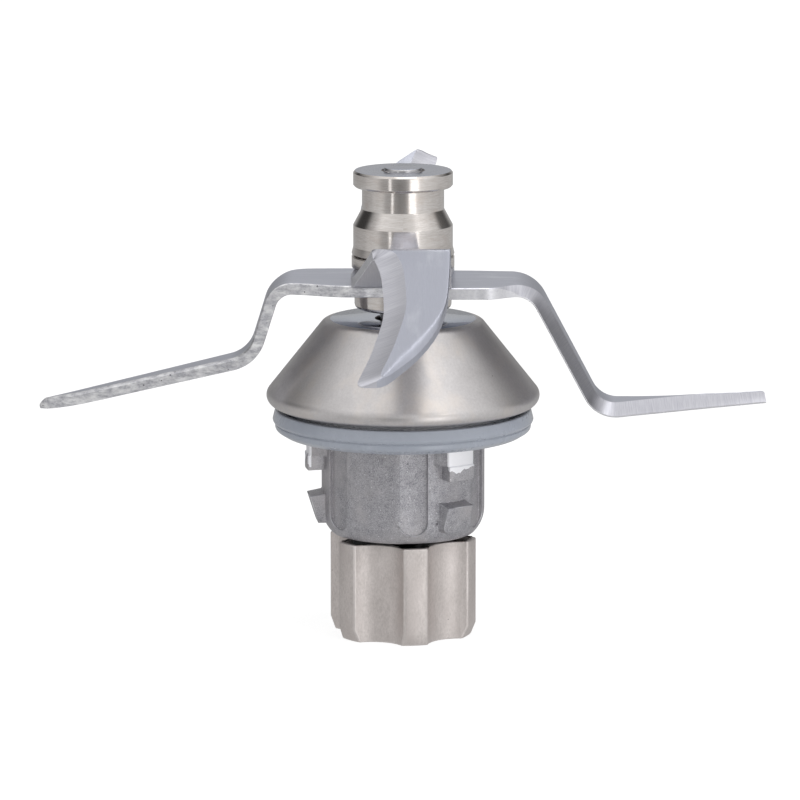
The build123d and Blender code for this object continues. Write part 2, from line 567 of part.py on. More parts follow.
def bearing_housing():
    """Die-cast housing: bearing pockets inside, keys, lugs and grooves outside."""
    rise = HOUSING_FOOT_RISE
    spread = HOUSING_RADIUS - HOUSING_FOOT_RADIUS
    foot_round = (spread ** 2 + rise ** 2) / (2 * spread)
    half_turn = atan2(rise, foot_round - spread) / 2
    bend = (HOUSING_RADIUS - foot_round * (1 - cos(half_turn)),
            HOUSING_BOTTOM + rise - foot_round * sin(half_turn))
    flange_top = FLANGE_BOTTOM + HOUSING_FLANGE_HEIGHT
    pocket = BEARING_OUTER_RADIUS + PRESS_GAP
    lower_top = LOWER_BEARING_BOTTOM + BEARING_WIDTH
    groove_bottom = LOWER_BEARING_BOTTOM - CIRCLIP_THICKNESS
    collar = SEAL_INNER_RADIUS - PRESS_GAP
    start = (HOUSING_RADIUS, HOUSING_BOTTOM + rise)
    end = (HOUSING_FOOT_RADIUS, HOUSING_BOTTOM)
    straight = (start, (HOUSING_RADIUS, COLLAR_FOOT),
                (collar + BEAD_HEIGHT - BEAD_GAP, COLLAR_FOOT),
                (collar + BEAD_HEIGHT - BEAD_GAP, SEAL_BOTTOM),
                (collar, SEAL_BOTTOM + BEAD_HEIGHT - BEAD_GAP), (collar, FLANGE_BOTTOM),
                (HOUSING_FLANGE_RADIUS, FLANGE_BOTTOM), (HOUSING_FLANGE_RADIUS, flange_top),
                (HOUSING_NECK_RADIUS, flange_top), (HOUSING_NECK_RADIUS, HOUSING_TOP),
                (pocket + RIM_CHAMFER, HOUSING_TOP), (pocket, HOUSING_TOP - RIM_CHAMFER),
                (pocket, UPPER_BEARING_BOTTOM),
                (HOUSING_SHOULDER_RADIUS, UPPER_BEARING_BOTTOM),
                (HOUSING_SHOULDER_RADIUS, lower_top), (pocket, lower_top),
                (pocket, LOWER_BEARING_BOTTOM),
                (pocket + CIRCLIP_GROOVE, LOWER_BEARING_BOTTOM),
                (pocket + CIRCLIP_GROOVE, groove_bottom), (pocket, groove_bottom),
                (pocket, HOUSING_BOTTOM), end)
    outline = [Polyline(*straight), ThreePointArc(end, bend, start)]
    body = revolve(Plane.XZ * make_face(outline), Axis.Z)
    bays = [BAY_AZIMUTH + 360 * bay / BAY_COUNT for bay in range(BAY_COUNT)]
    for bay in bays:
        body -= [groove(bay - GROOVE_OFFSET), groove(bay + GROOVE_OFFSET)]
    for bay in bays:
        body += [key(bay), lug(bay)]
    return body


def track(bottom):
    """Waste of the ball track of a bearing that stands on height bottom."""
    return Pos(0, 0, bottom + BEARING_WIDTH / 2) * Torus(BALL_TRACK_RADIUS,
                                                         BALL_RADIUS + RUNNING_GAP)


def inner_race(bottom):
    """Inner race of a ball bearing, pressed on the spindle."""
    bore = SHAFT_RADIUS + PRESS_GAP
    return tube(SHAFT_RADIUS + BEARING_RACE, bore, BEARING_WIDTH, bottom) - track(bottom)


def outer_race(bottom):
    """Outer race of a ball bearing, pressed in the housing."""
    inner = BEARING_OUTER_RADIUS - BEARING_RACE
    return tube(BEARING_OUTER_RADIUS, inner, BEARING_WIDTH, bottom) - track(bottom)


def balls(bottom):
    """The balls of one bearing."""
    centre = Pos(BALL_TRACK_RADIUS, 0, bottom + BEARING_WIDTH / 2)
    return Compound(children=[Rotation(0, 0, 360 * ball / BALL_COUNT) * centre
                              * Sphere(BALL_RADIUS) for ball in range(BALL_COUNT)])


def cage(bottom):
    """Cage that keeps the balls of one bearing apart."""
    height = 2 * BALL_RADIUS + 2 * CAGE_THICKNESS
    middle = bottom + BEARING_WIDTH / 2
    body = tube(BALL_TRACK_RADIUS + CAGE_THICKNESS, BALL_TRACK_RADIUS - CAGE_THICKNESS,
                height, middle - height / 2)
    for ball in range(BALL_COUNT):
        turn = Rotation(0, 0, 360 * ball / BALL_COUNT)
        body -= turn * Pos(BALL_TRACK_RADIUS, 0, middle) * Rotation(0, 90, 0) * Cylinder(
            BALL_RADIUS + PRESS_GAP, 4 * CAGE_THICKNESS)
    return body


def shield(bottom):
    """Thin shield plate pressed into the outer race, standing on height bottom."""
    outer = BEARING_OUTER_RADIUS - BEARING_RACE - PRESS_GAP
    inner = SHAFT_RADIUS + BEARING_RACE + SWEEP_GAP
    return tube(outer, inner, SHIELD_THICKNESS, bottom)


def open_ring(outer, inner, bottom, gap_azimuth):
    """Flat retaining ring with its opening at one azimuth."""
    body = tube(outer, inner, CIRCLIP_THICKNESS, bottom)
    reach = 2 * outer
    half = reach * tan(radians(CIRCLIP_GAP_ANGLE / 2))
    opening = make_face(Polyline((0, 0), (reach, half), (reach, -half), close=True))
    return body - turn_to(gap_azimuth) * Pos(0, 0, bottom) * extrude(opening, CIRCLIP_THICKNESS)


def shaft_circlip(bottom):
    """Retaining ring in a groove of the spindle."""
    floor = SHAFT_RADIUS - CIRCLIP_GROOVE + PRESS_GAP
    return open_ring(floor + CIRCLIP_WIDTH, floor, bottom, CIRCLIP_AZIMUTH)


def housing_circlip():
    """Retaining ring in the housing's groove, under the lower bearing."""
    floor = BEARING_OUTER_RADIUS + CIRCLIP_GROOVE
    bottom = LOWER_BEARING_BOTTOM - CIRCLIP_THICKNESS
    return open_ring(floor, floor - CIRCLIP_WIDTH, bottom, CIRCLIP_AZIMUTH)


def bearing_spacer():
    """Sleeve on the spindle between the two inner races."""
    bottom = LOWER_BEARING_BOTTOM + BEARING_WIDTH
    return tube(SPACER_RADIUS, SHAFT_RADIUS + PRESS_GAP, UPPER_BEARING_BOTTOM - bottom, bottom)


def seal_seat():
    """Ring between the upper bearing's outer race and the lip seal."""
    bottom = UPPER_BEARING_BOTTOM + BEARING_WIDTH
    return tube(BEARING_OUTER_RADIUS, HOUSING_SHOULDER_RADIUS, LIP_SEAL_BOTTOM - bottom, bottom)


def seal_case():
    """Pressed steel case of the lip seal, with an inward bottom flange."""
    outer = BEARING_OUTER_RADIUS
    inner = outer - LIP_SEAL_CASE
    floor = LIP_SEAL_BOTTOM + LIP_SEAL_CASE
    top = LIP_SEAL_BOTTOM + LIP_SEAL_WIDTH
    return turned((LIP_SEAL_FLANGE_RADIUS, LIP_SEAL_BOTTOM), (outer, LIP_SEAL_BOTTOM),
                  (outer, top), (inner, top), (inner, floor), (LIP_SEAL_FLANGE_RADIUS, floor))


def garter():
    """Centre of the garter spring in the lip seal: (distance from the axis, height)."""
    return SHAFT_RADIUS + LIP_THICKNESS + SPRING_RADIUS, LIP_SEAL_BOTTOM + LIP_SEAL_WIDTH - 1.9


def shaft_seal():
    """Rubber lip that runs on the spindle and keeps the bearings dry."""
    outer = BEARING_OUTER_RADIUS - LIP_SEAL_CASE - PRESS_GAP
    floor = LIP_SEAL_BOTTOM + LIP_SEAL_CASE
    top = LIP_SEAL_BOTTOM + LIP_SEAL_WIDTH
    web_top = floor + LIP_THICKNESS
    lip = SHAFT_RADIUS + RUNNING_GAP
    sleeve = lip + LIP_THICKNESS
    body = turned((outer, floor), (outer, top), (outer - LIP_THICKNESS, top),
                  (outer - LIP_THICKNESS, web_top), (sleeve + LIP_THICKNESS, web_top),
                  (sleeve, web_top + LIP_THICKNESS), (sleeve, top - LIP_THICKNESS / 2),
                  (lip, top - LIP_THICKNESS), (lip + LIP_THICKNESS / 2, floor))
    spring_radius, spring_height = garter()
    return body - Pos(0, 0, spring_height) * Torus(spring_radius, SPRING_RADIUS + PRESS_GAP)


def garter_spring():
    """Spring ring that presses the lip against the spindle."""
    spring_radius, spring_height = garter()
    return Pos(0, 0, spring_height) * Torus(spring_radius, SPRING_RADIUS)


def lobed_outline(inset):
    """Six-lobed outline of the coupling, moved inwards by an inset."""
    step = 360 / LOBE_COUNT
    crest = LOBE_RADIUS - inset
    half = degrees(LOBE_HALF_ANGLE_ARC / crest)
    flute = FLUTE_RADIUS - inset
    runs = []
    for lobe in range(LOBE_COUNT):
        middle = LOBE_AZIMUTH + lobe * step
        first = azimuth_point(crest, middle - half)
        last = azimuth_point(crest, middle + half)
        following = azimuth_point(crest, middle + step - half)
        runs.append(ThreePointArc(first, azimuth_point(crest, middle), last))
        runs.append(ThreePointArc(last, azimuth_point(flute, middle + step / 2), following))
    return make_face(runs)


def coupling_cup():
    """Fluted steel cup of the drive coupling, its lobes chamfered at the closed end."""
    wall = lobed_outline(COUPLING_WALL)
    body = extrude(lobed_outline(0), COUPLING_HEIGHT)
    body -= Pos(0, 0, COUPLING_WALL) * extrude(wall, COUPLING_HEIGHT)
    body -= rod(COUPLING_HOLE_RADIUS, COUPLING_WALL, 0)
    envelope = turned((0, 0), (LOBE_RADIUS - COUPLING_CHAMFER, 0),
                      (LOBE_RADIUS + COUPLING_CHAMFER, 2 * COUPLING_CHAMFER_RISE),
                      (LOBE_RADIUS + COUPLING_CHAMFER, COUPLING_HEIGHT), (0, COUPLING_HEIGHT))
    return body & envelope


def coupling_core():
    """Moulded core that fills the cup and takes the flats of the spindle."""
    bottom = COUPLING_WALL
    top = COUPLING_HEIGHT - CORE_TOP_DROP
    body = Pos(0, 0, bottom) * extrude(lobed_outline(COUPLING_WALL + CORE_GAP), top - bottom)
    hole = rod(SHAFT_RADIUS + PRESS_GAP, top, 0)
    hole &= Pos(0, 0, top / 2) * Box(4 * SHAFT_RADIUS, 2 * (SHAFT_FLAT + PRESS_GAP), top)
    return body - hole - rod(WASHER_RADIUS + CORE_GAP, SHAFT_FOOT - bottom, bottom)


def coupling_washer():
    """Washer between the screw head and the end of the spindle."""
    return tube(WASHER_RADIUS, WASHER_HOLE_RADIUS, WASHER_THICKNESS,
                SHAFT_FOOT - WASHER_THICKNESS)


def coupling_screw():
    """Socket screw that holds the coupling on the spindle."""
    head_top = SHAFT_FOOT - WASHER_THICKNESS
    body = rod(SCREW_HEAD_RADIUS, SCREW_HEAD_HEIGHT, head_top - SCREW_HEAD_HEIGHT)
    body += rod(SCREW_SHANK_RADIUS - PRESS_GAP, SCREW_LENGTH, head_top)
    socket = Pos(0, 0, head_top - SCREW_HEAD_HEIGHT) * extrude(
        RegularPolygon(SOCKET_RADIUS, 6), SOCKET_DEPTH)
    return body - socket


def shield_heights(bottom):
    """Heights of the bottom and the top shield of a bearing."""
    return (bottom + SHIELD_INSET,
            bottom + BEARING_WIDTH - SHIELD_INSET - SHIELD_THICKNESS)


def all_parts():
    """Every node of the assembly, by name."""
    parts = {
        "spindle": spindle(), "hub_knob": hub_knob(), "clamp_ring": clamp_ring(),
        "upper_blade": upper_blade(), "lower_blade": lower_blade(),
        "blade_seat_collar": blade_seat_collar(), "cone_cover": cone_cover(),
        "seal_ring": seal_ring(), "bearing_housing": bearing_housing(),
        "bearing_spacer": bearing_spacer(), "seal_seat": seal_seat(),
        "seal_case": seal_case(), "shaft_seal": shaft_seal(),
        "garter_spring": garter_spring(), "housing_circlip": housing_circlip(),
        "lower_shaft_circlip": shaft_circlip(LOWER_BEARING_BOTTOM - CIRCLIP_THICKNESS),
        "upper_shaft_circlip": shaft_circlip(UPPER_BEARING_BOTTOM + BEARING_WIDTH),
        "coupling_cup": coupling_cup(), "coupling_core": coupling_core(),
        "coupling_washer": coupling_washer(), "coupling_screw": coupling_screw()}
    for place, bottom in (("lower", LOWER_BEARING_BOTTOM), ("upper", UPPER_BEARING_BOTTOM)):
        parts[f"{place}_inner_race"] = inner_race(bottom)
        parts[f"{place}_outer_race"] = outer_race(bottom)
        parts[f"{place}_bearing_balls"] = balls(bottom)
        parts[f"{place}_ball_cage"] = cage(bottom)
        under, over = shield_heights(bottom)
        parts[f"{place}_bearing_bottom_shield"] = shield(under)
        parts[f"{place}_bearing_top_shield"] = shield(over)
    return parts


if __name__ == "__main__":
    os.makedirs("parts", exist_ok=True)
    for name, body in all_parts().items():
        export_step(body, f"parts/{name}.step")
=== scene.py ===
"""Looks of a jar blender's mixing-knife unit: turned hub, bent blades, cone, housing, coupling."""
import logging
from dataclasses import dataclass
from enum import Enum
from math import acos, atan2, cos, degrees, hypot, pi, radians, sin, sqrt, tan
from typing import Iterable, Optional

import bmesh
import bpy
from mathutils import Matrix, Vector, noise
from mathutils.bvhtree import BVHTree


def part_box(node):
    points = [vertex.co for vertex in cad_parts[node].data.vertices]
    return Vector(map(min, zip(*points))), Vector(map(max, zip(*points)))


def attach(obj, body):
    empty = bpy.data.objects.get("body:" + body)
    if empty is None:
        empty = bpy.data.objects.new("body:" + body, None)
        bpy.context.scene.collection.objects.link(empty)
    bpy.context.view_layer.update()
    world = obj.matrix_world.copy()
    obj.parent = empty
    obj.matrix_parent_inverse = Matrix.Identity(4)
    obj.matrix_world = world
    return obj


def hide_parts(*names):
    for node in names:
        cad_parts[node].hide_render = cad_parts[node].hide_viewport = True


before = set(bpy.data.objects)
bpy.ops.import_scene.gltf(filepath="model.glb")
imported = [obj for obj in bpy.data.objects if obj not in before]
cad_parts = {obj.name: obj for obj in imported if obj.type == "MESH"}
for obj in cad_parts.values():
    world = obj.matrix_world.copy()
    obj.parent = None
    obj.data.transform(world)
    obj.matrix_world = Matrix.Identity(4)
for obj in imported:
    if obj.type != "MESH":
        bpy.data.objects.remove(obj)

log = logging.getLogger("knife_unit")

MM = 0.001
Point = tuple[float, float]
Triple = tuple[float, float, float]

# Arc in metres that stands for one radian in coordinates round the spindle
ARC = 0.01
# Noise of the broad unevenness, per line of the grain, and of ragged lines, per metre
BROAD_SCALE = 0.12
WIDE_SCALE = 260.0
# Noise values between which the grain goes from its low places to its high ones
GRAIN_SPAN = (0.3, 0.7)
# Share of a side that a fillet of an outline may take
FILLET_ROOM = 0.49
# Spans round and along a bearing ball
BALL_SPANS = (32, 20)
# Turn on each axis, in radians, and least and greatest stretch of a burr
BURR_TURN = (6.3, 6.3, 6.3)
BURR_STRETCH = ((0.4, 0.4, 0.3), (1.6, 1.0, 0.9))
# Edges sharper than this, in degrees, stay sharp in the shading: turned and cast, and ground
CREASE = 38
GROUND_CREASE = 24
# Distance in metres under which points of a turned piece are joined
SEAM = 1e-7
# Least number of spans in a bend of a blade, degrees for each, and spans in its tip
BEND_SPANS = 6
BEND_STEP = 4
TIP_SPANS = 12


class Body(Enum):
    """Rigid bodies of the unit."""

    HOUSING = "housing"
    ROTOR = "rotor"
    LOWER_BALLS = "lower_ball_set"
    UPPER_BALLS = "upper_ball_set"


class Zone(Enum):
    """Faces of a blade that are finished differently."""

    SHEET = 0
    BEVEL = 1
    SHEARED = 2
    LAND = 3
    # Downward faces, coloured lighter than the sheet as painted light
    UNDER = 4


class Sockets:
    """Short way to place shader or geometry nodes in one tree and join them."""

    def __init__(self, tree: bpy.types.NodeTree) -> None:
        """Wrap a node tree.

        Args:
            tree: the tree that the nodes go into.
        """
        self.tree = tree

    def give(self, node: bpy.types.Node, inputs: dict) -> None:
        """Set or link inputs of a node.

        Args:
            node: the node.
            inputs: value, or socket to link from, for each named or numbered input.
        """
        for name, value in inputs.items():
            if isinstance(value, bpy.types.NodeSocket):
                self.tree.links.new(value, node.inputs[name])
            else:
                node.inputs[name].default_value = value

    def add(self, kind: str, inputs: Optional[dict] = None, **settings: object) -> bpy.types.Node:
        """Place a node.

        Args:
            kind: the node's type name.
            inputs: value, or socket to link from, for each named or numbered input.
            settings: properties of the node.

        Returns:
            The new node.
        """
        node = self.tree.nodes.new(kind)
        for name, value in settings.items():
            setattr(node, name, value)
        self.give(node, inputs or {})
        return node

    def math(self, operation: str, first: object, second: object = 0.0) -> bpy.types.NodeSocket:
        """Result socket of one Math node."""
        node = self.add("ShaderNodeMath", {0: first, 1: second}, operation=operation)
        return node.outputs[0]

    def spread(self, value: object, low: float, high: float, to_low: float,
               to_high: float) -> bpy.types.NodeSocket:
        """Place a clamped Map Range node.

        Args:
            value: what is mapped.
            low: value that becomes to_low.
            high: value that becomes to_high.
            to_low: lower result.
            to_high: upper result.

        Returns:
            The result socket.
        """
        node = self.add("ShaderNodeMapRange", {"Value": value, "From Min": low, "From Max": high,
                                               "To Min": to_low, "To Max": to_high})
        return node.outputs[0]

    def toward(self, factor: object, first: object, second: float) -> bpy.types.NodeSocket:
        """Value moved from the first towards the second by a factor."""
        gap = self.math("SUBTRACT", second, first)
        return self.math("ADD", first, self.math("MULTIPLY", gap, factor))

    def blend(self, factor: object, first: object, second: object) -> bpy.types.NodeSocket:
        """Result socket of one colour Mix node."""
        node = self.add("ShaderNodeMix", {0: factor, 6: first, 7: second}, data_type="RGBA")
        return node.outputs[2]

    def cloud(self, where: bpy.types.NodeSocket, scale: float, detail: float,
              rough: float = 0.5) -> bpy.types.NodeSocket:
        """Place a Noise Texture node.

        Args:
            where: coordinates of the noise.
            scale: its frequency.
            detail: number of finer layers.
            rough: weight of the finer layers.

        Returns:
            The result socket.
        """
        node = self.add("ShaderNodeTexNoise", {"Vector": where, "Scale": scale, "Detail": detail,
                                               "Roughness": rough})
        return node.outputs[0]

    def scaled(self, start: bpy.types.Node) -> bpy.types.NodeSocket:
        """Scale a group's coordinates.

        Args:
            start: the group's input node.

        Returns:
            Its Vector times its Scales.
        """
        node = self.add("ShaderNodeVectorMath", {0: start.outputs["Vector"],
                                                 1: start.outputs["Scales"]},
                        operation="MULTIPLY")
        return node.outputs[0]


def shader_group(name: str, inputs: dict, outputs: Iterable[str]) -> tuple:
    """Start an empty shader node group.

    Args:
        name: the group's name.
        inputs: for each input, its socket type and its default value or None.
        outputs: names of the outputs, all of them plain values unless called Vector.

    Returns:
        The group, its node helper, the group's input node and its output node.
    """
    group = bpy.data.node_groups.new(name, "ShaderNodeTree")
    for label, (kind, default) in inputs.items():
        socket = group.interface.new_socket(label, in_out="INPUT", socket_type=kind)
        if default is not None:
            socket.default_value = default
    for label in outputs:
        kind = "NodeSocketVector" if label == "Vector" else "NodeSocketFloat"
        group.interface.new_socket(label, in_out="OUTPUT", socket_type=kind)
    kit = Sockets(group)
    return group, kit, kit.add("NodeGroupInput"), kit.add("NodeGroupOutput")


class Effects:
    """Shader groups that several finishes share, each built once."""

    def __init__(self) -> None:
        """Build every group."""
        self.polar = self.build_polar()
        self.grain = self.build_grain()
        self.specks = self.build_specks()
        self.blots = self.build_blots()

    @staticmethod
    def build_polar() -> bpy.types.NodeTree:
        """Coordinates round the spindle: distance from it, arc around it, height.

        Returns:
            The group.
        """
        group, kit, start, end = shader_group(
            "around_spindle", {"Vector": ("NodeSocketVector", None)}, ["Vector", "Radius"])
        parts = kit.add("ShaderNodeSeparateXYZ", {0: start.outputs["Vector"]})
        radius = kit.math("SQRT", kit.math(
            "ADD", kit.math("MULTIPLY", parts.outputs[0], parts.outputs[0]),
            kit.math("MULTIPLY", parts.outputs[1], parts.outputs[1])))
        turn = kit.math("ARCTAN2", parts.outputs[0], parts.outputs[1])
        joined = kit.add("ShaderNodeCombineXYZ", {0: radius, 1: kit.math("MULTIPLY", turn, ARC),
                                                  2: parts.outputs[2]})
        kit.give(end, {"Vector": joined.outputs[0], "Radius": radius})
        return group

    @staticmethod
    def build_grain() -> bpy.types.NodeTree:
        """Drawn-out noise: fine tool lines with a broader unevenness below them.

        Returns:
            The group.
        """
        group, kit, start, end = shader_group(
            "tool_grain", {"Vector": ("NodeSocketVector", None),
                           "Scales": ("NodeSocketVector", (1000.0, 1000.0, 1000.0)),
                           "Broad share": ("NodeSocketFloat", 0.4)},
            ["Tone", "Fine", "Wide"])
        scaled = kit.scaled(start)
        fine = kit.cloud(scaled, scale=1.0, detail=4.0, rough=0.65)
        broad = kit.cloud(scaled, scale=BROAD_SCALE, detail=2.0)
        share = start.outputs["Broad share"]
        tone = kit.math("ADD", kit.math("MULTIPLY", broad, share),
                        kit.math("MULTIPLY", fine, kit.math("SUBTRACT", 1.0, share)))
        wide = kit.cloud(start.outputs["Vector"], scale=WIDE_SCALE, detail=3.0)
        kit.give(end, {"Tone": tone, "Fine": fine, "Wide": wide})
        return group

    @staticmethod
    def build_blots() -> bpy.types.NodeTree:
        """Mask of uneven patches.

        Returns:
            The group.
        """
        group, kit, start, end = shader_group(
            "blots", {"Vector": ("NodeSocketVector", None),
                      "Scales": ("NodeSocketVector", (200.0, 200.0, 200.0)),
                      "Low": ("NodeSocketFloat", 0.5), "High": ("NodeSocketFloat", 0.7)},
            ["Mask"])
        cloud = kit.cloud(kit.scaled(start), scale=1.0, detail=5.0, rough=0.6)
        kit.give(end, {"Mask": kit.spread(cloud, start.outputs["Low"], start.outputs["High"],
                                          0.0, 1.0)})
        return group

    @staticmethod
    def build_specks() -> bpy.types.NodeTree:
        """Mask of small scattered marks.

        Returns:
            The group.
        """
        group, kit, start, end = shader_group(
            "specks", {"Vector": ("NodeSocketVector", None),
                       "Spacing": ("NodeSocketFloat", 300.0),
                       "Size": ("NodeSocketFloat", 0.1),
                       "Share": ("NodeSocketFloat", 0.3)}, ["Mask"])
        cells = kit.add("ShaderNodeTexVoronoi", {"Vector": start.outputs["Vector"],
                                                 "Scale": start.outputs["Spacing"]})
        near = kit.math("LESS_THAN", cells.outputs["Distance"], start.outputs["Size"])
        picked = kit.add("ShaderNodeSeparateColor", {0: cells.outputs["Color"]})
        kept = kit.math("LESS_THAN", picked.outputs[0], start.outputs["Share"])
        kit.give(end, {"Mask": kit.math("MULTIPLY", near, kept)})
        return group


class Pattern(Enum):
    """Where the coordinates of a finish come from."""

    ROUND = "round the spindle"
    SHEET = "along the blade"
    BODY = "through the body"


@dataclass(frozen=True)
class Patches:
    """Uneven patches of another tone.

    Attributes:
        scales: patch frequency along the three pattern coordinates, per metre.
        span: noise values between which a patch fades in.
        colour: colour inside a patch.
        rough: roughness inside a patch.
    """

    scales: Triple
    span: Point
    colour: Triple
    rough: float


@dataclass(frozen=True)
class Specks:
    """Small scattered marks: cells per metre, size and share of the cells, and their colour."""

    spacing: float
    size: float
    share: float
    colour: Triple


@dataclass(frozen=True)
class TurnedLand:
    """Faces of a casting that were turned bright.

    Attributes:
        radius: how far out they begin, in millimetres.
        foot: how high they begin.
        colour: their colour.
        rough: their roughness.
        ragged: height of the unevenness of that lower line.
    """

    radius: float
    foot: float
    colour: Triple
    rough: float
    ragged: float = 7.0


@dataclass(frozen=True)
class Finish:
    """One surface finish.

    Attributes:
        name: the material's name.
        colour: base colour.
        shade: colour of the low places in the grain.
        rough: lowest and highest roughness.
        metal: metallic weight.
        pattern: where the grain's coordinates come from.
        scales: grain frequency along the three pattern coordinates, per metre.
        broad: share of the broad unevenness.
        depth: height of the grain in millimetres.
        stretch: how far the highlight spreads across turned lines.
        patches, specks, land: what else shows on it, if anything.
        coat: weight of a clear coat.
    """

    name: str
    colour: Triple
    shade: Triple
    rough: Point
    metal: float = 1.0
    pattern: Pattern = Pattern.BODY
    scales: Triple = (3000.0, 3000.0, 3000.0)
    broad: float = 0.4
    depth: float = 0.004
    stretch: float = 0.0
    patches: Optional[Patches] = None
    specks: Optional[Specks] = None
    land: Optional[TurnedLand] = None
    coat: float = 0.0

    def material(self, effects: Effects) -> bpy.types.Material:
        """Build the material.

        Args:
            effects: the shared shader groups.

        Returns:
            The finished material.
        """
        made = bpy.data.materials.new(self.name)
        made.use_nodes = True
        kit = Sockets(made.node_tree)
        made.node_tree.nodes.clear()
        place = kit.add("ShaderNodeTexCoord")
        around = kit.add("ShaderNodeGroup", {"Vector": place.outputs["Object"]},
                         node_tree=effects.polar)
        where = {Pattern.ROUND: around.outputs["Vector"], Pattern.SHEET: place.outputs["UV"],
                 Pattern.BODY: place.outputs["Object"]}[self.pattern]
        grain = kit.add("ShaderNodeGroup", {"Vector": where, "Scales": self.scales,
                                            "Broad share": self.broad},
                        node_tree=effects.grain)
        tone = kit.spread(grain.outputs["Tone"], *GRAIN_SPAN, 0.0, 1.0)
        colour = kit.blend(tone, (*self.shade, 1.0), (*self.colour, 1.0))
        rough = kit.spread(tone, 0.0, 1.0, self.rough[1], self.rough[0])
        if self.patches:
            low, high = self.patches.span
            blots = kit.add("ShaderNodeGroup", {"Vector": where, "Scales": self.patches.scales,
                                                "Low": low, "High": high},
                            node_tree=effects.blots)
            mask = blots.outputs["Mask"]
            colour = kit.blend(mask, colour, (*self.patches.colour, 1.0))
            rough = kit.toward(mask, rough, self.patches.rough)
        if self.specks:
            specks = kit.add("ShaderNodeGroup", {
                "Vector": place.outputs["Object"], "Spacing": self.specks.spacing,
                "Size": self.specks.size, "Share": self.specks.share}, node_tree=effects.specks)
            colour = kit.blend(specks.outputs["Mask"], colour, (*self.specks.colour, 1.0))
        if self.land:
            ragged = kit.math("MULTIPLY", kit.math("SUBTRACT", grain.outputs["Wide"], 0.5),
                              self.land.ragged * MM)
            height = kit.add("ShaderNodeSeparateXYZ", {0: place.outputs["Object"]})
            line = kit.math("ADD", height.outputs[2], ragged)
            far = kit.math("GREATER_THAN", around.outputs["Radius"], self.land.radius * MM)
            mask = kit.math("MULTIPLY", far, kit.math("GREATER_THAN", line, self.land.foot * MM))
            colour = kit.blend(mask, colour, (*self.land.colour, 1.0))
            rough = kit.toward(mask, rough, self.land.rough)
        bump = kit.add("ShaderNodeBump", {"Height": grain.outputs["Fine"], "Strength": 1.0,
                                          "Distance": self.depth * MM})
        shader = kit.add("ShaderNodeBsdfPrincipled", {
            "Base Color": colour, "Roughness": rough, "Metallic": self.metal,
            "Normal": bump.outputs[0], "Anisotropic": self.stretch, "Coat Weight": self.coat})
        if self.stretch > 0.0:
            turn = kit.add("ShaderNodeTangent", direction_type="RADIAL", axis="Z")
            kit.give(shader, {"Anisotropic Rotation": 0.25, "Tangent": turn.outputs[0]})
        kit.add("ShaderNodeOutputMaterial", {0: shader.outputs[0]})
        return made


